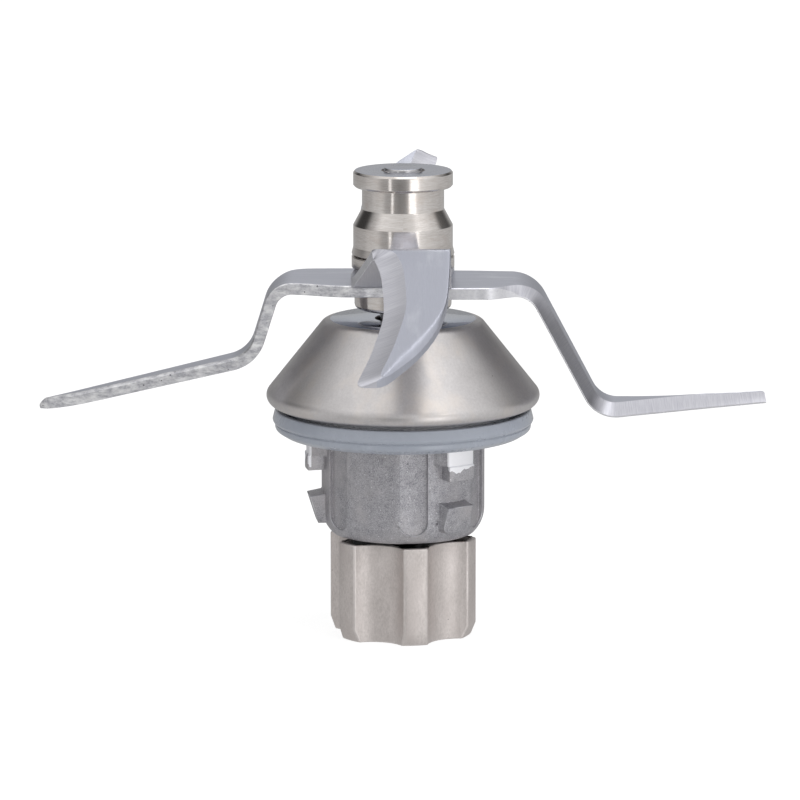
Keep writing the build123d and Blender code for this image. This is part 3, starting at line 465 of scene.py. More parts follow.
FINISHES = {
    "hub": Finish("turned_hub_steel", (0.74, 0.71, 0.69), (0.54, 0.50, 0.47), (0.12, 0.20),
                  pattern=Pattern.ROUND, scales=(7000.0, 500.0, 7000.0), depth=0.002,
                  stretch=0.55, broad=0.35,
                  patches=Patches((260.0, 160.0, 420.0), (0.52, 0.75), (0.60, 0.54, 0.50), 0.22)),
    # Hub and spindle ends: the facing grain and roughness are real; the darker, bluer colour is
    # painted shade with a painted cool reflection
    "hub_top": Finish("faced_hub_end_painted_shade", (0.46, 0.48, 0.56), (0.38, 0.40, 0.47), (0.16, 0.24),
                      pattern=Pattern.ROUND, scales=(9000.0, 300.0, 3000.0), depth=0.001,
                      stretch=0.3, broad=0.4),
    "spindle": Finish("spindle_steel", (0.60, 0.59, 0.60), (0.42, 0.41, 0.42), (0.12, 0.22),
                      pattern=Pattern.ROUND, scales=(9000.0, 300.0, 9000.0), depth=0.002,
                      stretch=0.4),
    "sheet": Finish("blade_sheet_steel", (0.54, 0.555, 0.63), (0.47, 0.485, 0.555), (0.30, 0.40),
                    pattern=Pattern.SHEET, scales=(420.0, 4200.0, 1.0), depth=0.002, broad=0.5,
                    patches=Patches((90.0, 260.0, 1.0), (0.55, 0.8), (0.66, 0.68, 0.74), 0.34),
                    specks=Specks(420.0, 0.05, 0.05, (0.30, 0.31, 0.35))),
    "bevel": Finish("blade_ground_bevel", (0.80, 0.80, 0.85), (0.56, 0.56, 0.62), (0.28, 0.42),
                    pattern=Pattern.SHEET, scales=(5200.0, 220.0, 1.0), depth=0.008, broad=0.22),
    "sheared": Finish("blade_sheared_edge", (0.72, 0.72, 0.75), (0.38, 0.38, 0.42),
                      (0.30, 0.55), scales=(2600.0, 2600.0, 3400.0), depth=0.05, broad=0.25,
                      patches=Patches((480.0, 480.0, 1300.0), (0.40, 0.66), (0.96, 0.96, 0.97),
                                      0.42),
                      specks=Specks(1300.0, 0.20, 0.09, (0.20, 0.20, 0.22))),
    "land": Finish("blade_cutting_land", (0.84, 0.84, 0.86), (0.62, 0.62, 0.66), (0.38, 0.50),
                   scales=(2500.0, 2500.0, 2500.0), depth=0.01),
    "cone": Finish("spun_cone_steel", (0.65, 0.63, 0.63), (0.53, 0.51, 0.51), (0.34, 0.42),
                   pattern=Pattern.ROUND, scales=(2400.0, 5200.0, 2400.0), depth=0.0015,
                   stretch=0.2, broad=0.35,
                   patches=Patches((120.0, 300.0, 120.0), (0.50, 0.85), (0.68, 0.62, 0.57), 0.32),
                   specks=Specks(330.0, 0.055, 0.10, (0.10, 0.09, 0.09))),
    # Faced cone top: the smooth facing is real; its bluer colour is a painted reflection of cool
    # light from above
    "cone_flat": Finish("faced_cone_top_painted_tint", (0.57, 0.61, 0.71), (0.51, 0.55, 0.64), (0.10, 0.16),
                        pattern=Pattern.ROUND, scales=(6000.0, 300.0, 6000.0), depth=0.0006),
    "seal": Finish("grey_silicone", (0.39, 0.42, 0.485), (0.34, 0.37, 0.43), (0.24, 0.34),
                   metal=0.0, scales=(500.0, 500.0, 500.0), depth=0.003, coat=0.5,
                   specks=Specks(400.0, 0.04, 0.03, (0.25, 0.25, 0.26))),
    "casting": Finish("grainy_die_casting", (0.66, 0.65, 0.68), (0.14, 0.14, 0.16),
                      (0.40, 0.60), metal=0.8, scales=(6500.0, 6500.0, 6500.0), depth=0.03,
                      broad=0.18,
                      patches=Patches((130.0, 130.0, 90.0), (0.45, 0.75), (0.50, 0.48, 0.49),
                                      0.5),
                      specks=Specks(2600.0, 0.24, 0.05, (0.70, 0.70, 0.72)),
                      land=TurnedLand(16.4, 31.0, (0.95, 0.95, 0.98), 0.5)),
    "coupling": Finish("drawn_coupling_steel", (0.74, 0.69, 0.67), (0.55, 0.51, 0.49),
                       (0.50, 0.60), scales=(3600.0, 3600.0, 1800.0), depth=0.006, broad=0.35,
                       patches=Patches((300.0, 300.0, 90.0), (0.50, 0.80), (0.62, 0.57, 0.55),
                                       0.56),
                       specks=Specks(650.0, 0.06, 0.08, (0.22, 0.19, 0.18))),
    # Lighter colour on outer cast edges: partly wear, partly a painted highlight along the edges
    "casting_edge": Finish("worn_and_highlit_casting_edge", (0.76, 0.76, 0.79), (0.22, 0.22, 0.24),
                           (0.42, 0.58), scales=(2200.0, 2200.0, 2200.0), depth=0.03, broad=1.0),
    # Lighter colour on outer coupling edges: partly wear, partly a painted highlight along the
    # edges
    "coupling_edge": Finish("worn_and_highlit_coupling_edge", (0.80, 0.75, 0.73), (0.57, 0.53, 0.51),
                            (0.46, 0.58), scales=(3000.0, 3000.0, 900.0), broad=0.5),
    # Lighter copy of the sheet steel on the blade's downward faces: painted light where they lie
    # in shade
    "under": Finish("blade_underside_painted_light", (0.74, 0.74, 0.77), (0.62, 0.62, 0.65), (0.48, 0.58),
                    pattern=Pattern.SHEET, scales=(300.0, 3200.0, 1.0), depth=0.003, broad=0.5),
    # Near-black core filling the coupling cup; it makes the gap inside the cup's rim dark
    "core": Finish("near_black_core", (0.012, 0.012, 0.013), (0.006, 0.006, 0.006),
                   (0.35, 0.5), metal=0.0, scales=(1500.0, 1500.0, 1500.0), depth=0.01),
    "race": Finish("bearing_steel", (0.70, 0.71, 0.73), (0.60, 0.61, 0.63), (0.08, 0.16),
                   pattern=Pattern.ROUND, scales=(9000.0, 60.0, 9000.0), depth=0.001),
    "ball": Finish("ball_steel", (0.80, 0.80, 0.82), (0.74, 0.74, 0.76), (0.04, 0.08),
                   depth=0.0005),
    "cage": Finish("cage_sheet", (0.60, 0.55, 0.42), (0.48, 0.43, 0.32), (0.25, 0.4),
                   depth=0.003),
    "spring": Finish("blued_spring_steel", (0.16, 0.17, 0.20), (0.09, 0.09, 0.10), (0.25, 0.4),
                     depth=0.004),
    "rubber": Finish("black_seal_rubber", (0.018, 0.018, 0.018), (0.010, 0.010, 0.010),
                     (0.45, 0.6), metal=0.0, scales=(1200.0, 1200.0, 1200.0), depth=0.008),
    "fastener": Finish("bright_fastener_steel", (0.60, 0.60, 0.62), (0.46, 0.46, 0.48),
                       (0.22, 0.36), depth=0.004),
}


class Palette:
    """Materials by finish, made when first asked for."""

    def __init__(self, effects: Effects) -> None:
        """Start empty.

        Args:
            effects: the shared shader groups.
        """
        self.effects = effects
        self.made: dict[str, bpy.types.Material] = {}

    def get(self, key: str) -> bpy.types.Material:
        """Look up a material, and make it where it is new.

        Args:
            key: the finish's key in FINISHES.

        Returns:
            Its material.
        """
        if key not in self.made:
            self.made[key] = FINISHES[key].material(self.effects)
        return self.made[key]


def new_piece(name: str, mesh: bpy.types.Mesh) -> bpy.types.Object:
    """Put a mesh in the scene as a piece at the origin.

    Args:
        name: the piece's name.
        mesh: its mesh.

    Returns:
        The piece.
    """
    piece = bpy.data.objects.new(name, mesh)
    bpy.context.scene.collection.objects.link(piece)
    return piece


def plain_mesh(piece: bpy.types.Object) -> None:
    """Turn a piece's modifiers into its own mesh and remove them.

    Args:
        piece: the piece.
    """
    graph = bpy.context.evaluated_depsgraph_get()
    mesh = bpy.data.meshes.new_from_object(piece.evaluated_get(graph), depsgraph=graph)
    old = piece.data
    piece.modifiers.clear()
    piece.data = mesh
    bpy.data.meshes.remove(old)


def rounded(corners: Iterable[tuple], steps: int = 5) -> list[Point]:
    """Closed outline with its corners filleted.

    Args:
        corners: (radius, height, fillet) of each corner, in millimetres.
        steps: number of spans in each fillet.

    Returns:
        The outline's (radius, height) points.
    """
    corners = list(corners)
    points: list[Point] = []
    for index, (x, y, fillet) in enumerate(corners):
        here = Vector((x, y))
        before = Vector(corners[index - 1][:2]) - here
        after = Vector(corners[(index + 1) % len(corners)][:2]) - here
        if fillet <= 0.0:
            points.append((x, y))
            continue
        before_way = before.normalized()
        after_way = after.normalized()
        half = acos(max(-1.0, min(1.0, before_way.dot(after_way)))) / 2
        reach = min(fillet / tan(half), FILLET_ROOM * before.length,
                    FILLET_ROOM * after.length)
        radius = reach * tan(half)
        centre = here + (before_way + after_way).normalized() * (radius / sin(half))
        first = here + before_way * reach - centre
        last = here + after_way * reach - centre
        start = atan2(first.y, first.x)
        sweep = (atan2(last.y, last.x) - start + pi) % (2 * pi) - pi
        for step in range(steps + 1):
            turn = start + sweep * step / steps
            points.append((centre.x + radius * cos(turn), centre.y + radius * sin(turn)))
    return points


def geometry_tree(name: str, inputs: dict) -> tuple:
    """Start a geometry tree that takes a mesh and gives a mesh.

    Args:
        name: the tree's name.
        inputs: type of each named input after the mesh.

    Returns:
        The tree, its node helper, its input node and its output node.
    """
    tree = bpy.data.node_groups.new(name, "GeometryNodeTree")
    tree.interface.new_socket("Geometry", in_out="INPUT", socket_type="NodeSocketGeometry")
    for label, kind in inputs.items():
        tree.interface.new_socket(label, in_out="INPUT", socket_type=kind)
    tree.interface.new_socket("Geometry", in_out="OUTPUT", socket_type="NodeSocketGeometry")
    kit = Sockets(tree)
    return tree, kit, kit.add("NodeGroupInput"), kit.add("NodeGroupOutput")


def finish_tree(kit: Sockets, shape: bpy.types.NodeSocket, start: bpy.types.Node,
                end: bpy.types.Node) -> None:
    """End a geometry tree: real faces, smooth shading and the material.

    Args:
        kit: the tree's node helper.
        shape: the geometry so far.
        start: the tree's input node.
        end: its output node.
    """
    real = kit.add("GeometryNodeRealizeInstances", {0: shape})
    smooth = kit.add("GeometryNodeSetShadeSmooth", {0: real.outputs[0]})
    dressed = kit.add("GeometryNodeSetMaterial", {"Geometry": smooth.outputs[0],
                                                  "Material": start.outputs["Finish"]})
    kit.give(end, {0: dressed.outputs[0]})


def lathe_tree() -> bpy.types.NodeTree:
    """Tree that turns an outline, a closed row of points in the XZ plane, about the spindle.

    Returns:
        The tree.
    """
    tree, kit, start, end = geometry_tree("lathe", {
        "Points": "NodeSocketInt", "Spans": "NodeSocketInt", "Finish": "NodeSocketMaterial"})
    columns = kit.math("ADD", start.outputs["Spans"], 1)
    grid = kit.add("GeometryNodeMeshGrid", {"Vertices X": columns,
                                            "Vertices Y": start.outputs["Points"]})
    index = kit.add("GeometryNodeInputIndex").outputs[0]
    column = kit.math("FLOOR", kit.math("DIVIDE", kit.math("ADD", index, 0.5),
                                        start.outputs["Points"]))
    row = kit.math("SUBTRACT", index, kit.math("MULTIPLY", column, start.outputs["Points"]))
    spot = kit.add("GeometryNodeInputPosition")
    sample = kit.add("GeometryNodeSampleIndex", {
        "Geometry": start.outputs["Geometry"], "Value": spot.outputs[0], "Index": row},
        data_type="FLOAT_VECTOR", domain="POINT")
    angle = kit.math("DIVIDE", kit.math("MULTIPLY", column, 2 * pi), start.outputs["Spans"])
    turned = kit.add("ShaderNodeVectorRotate", {"Vector": sample.outputs[0], "Angle": angle},
                     rotation_type="Z_AXIS")
    placed = kit.add("GeometryNodeSetPosition", {"Geometry": grid.outputs[0],
                                                 "Position": turned.outputs[0]})
    joined = kit.add("GeometryNodeMergeByDistance", {"Geometry": placed.outputs[0],
                                                     "Distance": SEAM})
    finish_tree(kit, joined.outputs[0], start, end)
    return tree


def ball_tree() -> bpy.types.NodeTree:
    """Tree that sets a ball on every point of a mesh.

    Returns:
        The tree.
    """
    tree, kit, start, end = geometry_tree("ball_ring", {
        "Radius": "NodeSocketFloat", "Finish": "NodeSocketMaterial"})
    round_spans, ring_spans = BALL_SPANS
    ball = kit.add("GeometryNodeMeshUVSphere", {"Segments": round_spans, "Rings": ring_spans,
                                                "Radius": start.outputs["Radius"]})
    row = kit.add("GeometryNodeInstanceOnPoints", {"Points": start.outputs["Geometry"],
                                                   "Instance": ball.outputs[0]})
    finish_tree(kit, row.outputs[0], start, end)
    return tree


def burr_tree() -> bpy.types.NodeTree:
    """Tree that leaves small torn burrs at some of the points along a sheared edge.

    Returns:
        The tree.
    """
    tree, kit, start, end = geometry_tree("edge_burrs", {
        "Size": "NodeSocketFloat", "Share": "NodeSocketFloat", "Seed": "NodeSocketInt",
        "Finish": "NodeSocketMaterial"})
    keep = kit.add("FunctionNodeRandomValue", {"Probability": start.outputs["Share"],
                                               "Seed": start.outputs["Seed"]},
                   data_type="BOOLEAN")
    chip = kit.add("GeometryNodeMeshIcoSphere", {"Radius": start.outputs["Size"],
                                                 "Subdivisions": 1})
    turn = kit.add("FunctionNodeRandomValue", {"Min": (0.0, 0.0, 0.0), "Max": BURR_TURN,
                                               "Seed": start.outputs["Seed"]},
                   data_type="FLOAT_VECTOR")
    least, most = BURR_STRETCH
    scale = kit.add("FunctionNodeRandomValue", {"Min": least, "Max": most,
                                                "Seed": start.outputs["Seed"]},
                    data_type="FLOAT_VECTOR")
    row = kit.add("GeometryNodeInstanceOnPoints", {
        "Points": start.outputs["Geometry"], "Selection": keep.outputs[3],
        "Instance": chip.outputs[0], "Rotation": turn.outputs[0], "Scale": scale.outputs[0]})
    finish_tree(kit, row.outputs[0], start, end)
    return tree


def run_tree(piece: bpy.types.Object, tree: bpy.types.NodeTree, values: dict) -> None:
    """Put a piece through a geometry tree and keep the result as its plain mesh.

    Args:
        piece: the object whose mesh goes in.
        tree: the geometry tree.
        values: value of each named input.
    """
    step = piece.modifiers.new(tree.name, "NODES")
    step.node_group = tree
    for socket in tree.interface.items_tree:
        if socket.in_out == "INPUT" and socket.name in values:
            step[socket.identifier] = values[socket.name]
    plain_mesh(piece)


def point_mesh(name: str, points: Iterable[Vector], closed: bool = False) -> bpy.types.Mesh:
    """Mesh of bare points.

    Args:
        name: the mesh's name.
        points: the points, in millimetres.
        closed: whether the first point is repeated at the end.

    Returns:
        The mesh.
    """
    spots = [tuple(point * MM) for point in points]
    mesh = bpy.data.meshes.new(name)
    mesh.from_pydata(spots + spots[:1] if closed else spots, [], [])
    return mesh


@dataclass(frozen=True)
class Easing:
    """How the edges of a CAD mesh are rounded.

    Attributes:
        width: width of the rounds, in millimetres.
        join: distance under which points are joined, in millimetres.
        steps: number of spans in each round.
        level: angle in degrees under which neighbouring faces become one.
        sharp: angle in degrees from which an edge is rounded.
        outer_edge_depth: depth below the mesh's faces from which a round is an outer edge's.
        bright_edge_top: height in millimetres up to which outer edges take the lighter edge
        colour, partly wear and partly a painted highlight.
    """

    width: float
    join: float
    steps: int = 3
    level: float = 0.7
    sharp: float = 32.0
    outer_edge_depth: float = 0.002
    bright_edge_top: float = 27.0


def refined_copy(node: str, name: str, easing: Easing, finishes: tuple) -> bpy.types.Object:
    """Piece with a node's own form and small rounds on its edges.

    Args:
        node: the CAD node.
        name: the piece's name.
        easing: form of the rounds.
        finishes: material of the faces, and of the outer edges, whose lighter colour
        is partly wear and partly a painted highlight.

    Returns:
        The piece.
    """
    work = bmesh.new()
    work.from_mesh(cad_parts[node].data)
    bmesh.ops.remove_doubles(work, verts=work.verts, dist=easing.join * MM)
    bmesh.ops.dissolve_limit(work, angle_limit=radians(easing.level), verts=work.verts,
                             edges=work.edges)
    before = BVHTree.FromBMesh(work)
    mesh = bpy.data.meshes.new(name)
    work.to_mesh(mesh)
    work.free()
    mesh.materials.clear()
    for finish in finishes:
        mesh.materials.append(finish)
    for face in mesh.polygons:
        face.material_index = 0
    piece = new_piece(name, mesh)
    bevel = piece.modifiers.new("edge_rounds", "BEVEL")
    # The rounds take the lighter edge colour: partly wear, partly a painted highlight
    bevel.material = 1
    bevel.width = easing.width * MM
    bevel.segments = easing.steps
    bevel.limit_method = "ANGLE"
    bevel.angle_limit = radians(easing.sharp)
    bevel.use_clamp_overlap = False
    plain_mesh(piece)
    # Only convex outer rounds below the given height keep the lighter colour of wear and painted
    # highlight
    for face in piece.data.polygons:
        spot, normal, _, _ = before.find_nearest(face.center)
        outer = (face.center - spot).dot(normal) < -easing.outer_edge_depth * MM
        if not outer or face.center.z > easing.bright_edge_top * MM:
            face.material_index = 0
    piece.data.shade_smooth()
    piece.data.set_sharp_from_angle(angle=radians(CREASE))
    return piece


@dataclass
class TurnedGroup:
    """Pieces turned about the spindle, each with the outline of its node and eased edges.

    Attributes:
        palette: the materials.
        lathe: the tree that turns an outline.
        spans: number of spans around each piece.
    """

    palette: Palette
    lathe: bpy.types.NodeTree
    spans: int = 192

    def place(self, node: str, outline: list[Point], finish: str,
              body: Body) -> bpy.types.Object:
        """Make one turned piece and put it in its node's place.

        Args:
            node: the CAD node that the piece stands for.
            outline: (radius, height) points in millimetres.
            finish: key of its finish.
            body: the body that it rides.

        Returns:
            The piece.
        """
        name = f"{node}_turned"
        points = [Vector((radius, 0.0, height)) for radius, height in outline]
        piece = new_piece(name, point_mesh(name, points, closed=True))
        run_tree(piece, self.lathe, {"Points": len(points) + 1, "Spans": self.spans,
                                     "Finish": self.palette.get(finish)})
        work = bmesh.new()
        work.from_mesh(piece.data)
        bmesh.ops.recalc_face_normals(work, faces=work.faces)
        work.to_mesh(piece.data)
        work.free()
        piece.data.set_sharp_from_angle(angle=radians(CREASE))
        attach(piece, body.value)
        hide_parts(node)
        log.info("%s: %d faces", piece.name, len(piece.data.polygons))
        return piece

    def dress_top(self, piece: bpy.types.Object, finish: str, height: float,
                  reach: float) -> None:
        """Give the faces at a piece's top their own material, whose bluer colour is a painted
        reflection of cool light, and on the hub and spindle a darker painted shade too.

        Args:
            piece: the piece.
            finish: key of the finish.
            height: height over which faces get it, in millimetres.
            reach: radius within which they do.
        """
        piece.data.materials.append(self.palette.get(finish))
        for face in piece.data.polygons:
            middle = face.center
            if middle.z > height * MM and hypot(middle.x, middle.y) < reach * MM:
                face.material_index = len(piece.data.materials) - 1


@dataclass
class HubStack(TurnedGroup):
    """Hub, ring under it, collar under the blades and the spindle.

    Attributes:
        bore: radius of the hole that the spindle's head goes through.
        neck: radius of the groove that holds accessories.
        relief: how far the hub's turned side lies inside its widest radius.
        flange, groove, slope: heights of these parts of the hub, from its top down.
        mouth: (width, height) of the steps in which the hub's hole opens at its top.
        head: radius of the spindle's head.
        journal: radius of the spindle in its bearings.
        flat: half width across the flats in the coupling, and their upper end.
        clips: lower end of each retaining groove.
        clip_size: height and depth of these grooves.
        notch: height of the faces that step in at the upper end of the flats.
        screw_hole: radius and depth of the hole in the spindle's foot.
        skin: depth below the top within which faces take the top's material, with its
            painted shade and painted reflection.
    """

    bore: float = 3.36
    neck: float = 7.05
    relief: float = 0.28
    flange: float = 2.8
    groove: float = 3.8
    slope: float = 2.8
    mouth: tuple[Point, ...] = ((0.4, 0.0), (0.12, 0.5), (0.0, 0.7))
    head: float = 3.35
    journal: float = 4.0
    flat: Point = (3.3, 16.0)
    notch: float = 0.01
    clips: Point = (19.1, 40.6)
    clip_size: Point = (0.9, 0.5)
    screw_hole: Point = (2.0, 10.0)
    skin: float = 0.05

    def hub(self) -> None:
        """Turn the hub."""
        low, high = (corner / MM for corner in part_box("hub_knob"))
        wide = high.x
        slim = wide - self.relief
        flange = high.z - self.flange
        shoulder = flange - self.groove
        outline = [
            (self.bore, low.z, 0.0), (wide - 0.25, low.z, 0.05), (wide, low.z + 0.3, 0.1),
            (slim, low.z + 1.5, 0.25), (slim, shoulder - self.slope, 0.3),
            (self.neck, shoulder, 0.3), (self.neck, flange, 0.25), (slim - 0.35, flange, 0.08),
            (slim, flange + 0.35, 0.12), (slim, high.z - 0.35, 0.15), (slim - 0.3, high.z, 0.08)]
        outline += [(self.bore + step, high.z - depth, 0.0 if depth else 0.08)
                    for step, depth in self.mouth]
        piece = self.place("hub_knob", rounded(outline), "hub", Body.ROTOR)
        # Darker, bluer top: painted shade and painted reflection over the real faced finish
        self.dress_top(piece, "hub_top", high.z - self.skin, slim - 0.3)

    def spindle(self) -> None:
        """Turn the spindle and file its flats."""
        low, high = (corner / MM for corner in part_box("spindle"))
        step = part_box("blade_seat_collar")[0].z / MM
        clip_height, clip_depth = self.clip_size
        floor = self.journal - clip_depth
        flat, flat_top = self.flat
        hole, hole_depth = self.screw_hole
        outline = [(hole, low.z, 0.0), (self.journal, low.z, 0.3),
                   (self.journal, flat_top - self.notch, 0.0), (self.journal, flat_top, 0.0)]
        for clip in self.clips:
            outline += [(self.journal, clip, 0.0), (floor, clip, 0.0),
                        (floor, clip + clip_height, 0.0),
                        (self.journal, clip + clip_height, 0.0)]
        outline += [(self.journal, step, 0.0), (self.head, step, 0.0), (self.head, high.z, 0.3),
                    (0.0, high.z, 0.0), (0.0, low.z + hole_depth, 0.0),
                    (hole, low.z + hole_depth, 0.0)]
        piece = self.place("spindle", rounded(outline), "spindle", Body.ROTOR)
        # The spindle's head end gets the same painted shade and painted reflection as the hub's
        # top
        self.dress_top(piece, "hub_top", high.z - self.skin, self.head)
        for vertex in piece.data.vertices:
            if vertex.co.z < (flat_top - self.notch / 2) * MM:
                vertex.co.y = max(-flat * MM, min(flat * MM, vertex.co.y))

    def build(self) -> None:
        """Make every turned piece of the stack."""
        self.hub()
        self.spindle()
        for ring, lower, upper in (("clamp_ring", 0.18, 0.18), ("blade_seat_collar", 0.8, 0.1)):
            low, high = (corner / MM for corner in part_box(ring))
            self.place(ring, rounded([
                (self.bore, low.z, 0.0), (high.x, low.z, lower), (high.x, high.z, upper),
                (self.bore, high.z, 0.0)]), "hub", Body.ROTOR)


@dataclass
class ConeAndSeal(TurnedGroup):
    """Spun cone cover and the jar seal ring below it.

    Attributes:
        slope: of the cone's side below the horizontal, in degrees.
        wall: thickness of the cone.
        rim: radius of its rolled rim.
        rim_spans: number of spans along that rim.
        shoulder: radius between the slope and the top.
        bore: radius of the hole for the spindle.
        lip: radius of the rim's inner end.
        faced: radius of the faced flat on top.
        step: (distance out, depth) of the fine groove at the flat's edge.
        crease: slope outside the flat's edge, in degrees.
        skin: depth below the top within which faces take the flat's material, with its
            painted bluish reflection.
        seat: radius of the seal's hole.
        inner: radius of the wall round that hole.
        gutter: height of the floor between the seal's two walls.
    """

    slope: float = 51.6
    wall: float = 1.2
    rim: float = 1.7
    rim_spans: int = 14
    shoulder: float = 3.0
    bore: float = 4.8
    lip: float = 20.6
    faced: float = 12.6
    step: tuple[Point, ...] = ((-0.12, 0.0), (-0.04, 0.06), (0.08, 0.05))
    crease: float = 17.0
    skin: float = 0.04
    seat: float = 18.5
    inner: float = 19.4
    gutter: float = 1.8

    def rolled(self, centre: Point, radius: float, first: float, last: float) -> list[tuple]:
        """Points of the rolled rim between two angles.

        Args:
            centre: centre of the rim's section.
            radius: radius of the rim's section.
            first: angle of the first point, in degrees.
            last: angle of the last one.

        Returns:
            The points as corners without a fillet.
        """
        turns = [radians(first + (last - first) * k / self.rim_spans)
                 for k in range(self.rim_spans + 1)]
        return [(centre[0] + radius * cos(turn), centre[1] + radius * sin(turn), 0.0)
                for turn in turns]

    def head(self, centre: Point, radius: float, top: float) -> Point:
        """Find where one side of the sloped sheet ends.

        Args:
            centre: centre of the rim's section.
            radius: distance from it to the side of the sheet.
            top: height that the slope reaches.

        Returns:
            The slope's upper end.
        """
        normal = radians(90 - self.slope)
        foot = (centre[0] + radius * cos(normal), centre[1] + radius * sin(normal))
        return foot[0] - (top - foot[1]) / tan(radians(self.slope)), top

    def cone(self) -> None:
        """Spin the cone cover."""
        low, high = (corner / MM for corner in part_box("cone_cover"))
        centre = (high.x - self.rim, low.z + self.rim)
        outer = 90 - self.slope
        head = self.head(centre, self.rim, high.z)
        inner_head = self.head(centre, self.rim - self.wall, high.z - self.wall)
        easing = tan(radians(self.crease))
        steep = tan(radians(self.slope))
        knee = (steep * head[0] - easing * self.faced) / (steep - easing)
        outline = [(self.bore, high.z, 0.15)]
        outline += [(self.faced + out, high.z - depth, 0.0) for out, depth in self.step]
        outline.append((knee, high.z - (knee - self.faced) * easing, self.shoulder))
        outline += self.rolled(centre, self.rim, outer, -90)
        outline += [(self.lip, low.z, 0.2), (self.lip, low.z + self.wall, 0.2)]
        outline += self.rolled(centre, self.rim - self.wall, -90, outer)
        outline += [(*inner_head, self.shoulder - self.wall), (self.bore, inner_head[1], 0.15)]
        cone = self.place("cone_cover", rounded(outline, steps=10), "cone", Body.HOUSING)
        # The flat's bluer colour is a painted reflection
        self.dress_top(cone, "cone_flat", high.z - self.skin, self.faced)

    def seal(self) -> None:
        """Mould the seal ring."""
        low, high = (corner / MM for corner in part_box("seal_ring"))
        wide = high.x
        wall = wide - 1.4
        gutter = low.z + self.gutter
        brim = high.z - 0.45
        self.place("seal_ring", rounded([
            (self.seat, low.z + 0.4, 0.0), (self.seat + 0.4, low.z, 0.1),
            (wide - 1.9, low.z, 1.0), (wide - 0.45, low.z + 0.9, 0.9),
            (wide - 0.42, low.z + 1.7, 0.1), (wide - 0.58, low.z + 1.95, 0.1),
            (wide - 0.15, low.z + 2.15, 0.1), (wide, low.z + 2.5, 0.12),
            (wide - 0.45, high.z, 0.3), (wall, high.z, 0.3), (wall, gutter, 0.3),
            (self.inner, gutter, 0.3), (self.inner, brim, 0.2), (self.seat, brim, 0.2)],
            steps=8), "seal", Body.HOUSING)

    def build(self) -> None:
        """Make the cone cover and the seal ring."""
        self.cone()
        self.seal()


def smooth_value(points: tuple, at: float) -> float:
    """Value of the smooth curve through control points.

    Args:
        points: control points (place, value), in rising order.
        at: the place.

    Returns:
        The value there.
    """
    places = [place for place, _ in points]
    values = [value for _, value in points]
    steps = [(values[i + 1] - values[i]) / (places[i + 1] - places[i])
             for i in range(len(points) - 1)]
    slopes = [steps[0]]
    for before, after in zip(steps, steps[1:]):
        slopes.append(0.0 if before * after <= 0 else 2 * before * after / (before + after))
    slopes.append(steps[-1])
    if at <= places[0]:
        return values[0]
    for i in range(len(steps)):
        if at <= places[i + 1]:
            width = places[i + 1] - places[i]
            share = (at - places[i]) / width
            rise = values[i + 1] - values[i]
            return (values[i] + share * width * slopes[i]
                    + share ** 2 * (3 * rise - width * (2 * slopes[i] + slopes[i + 1]))
                    + share ** 3 * (width * (slopes[i] + slopes[i + 1]) - 2 * rise))
    return values[-1]


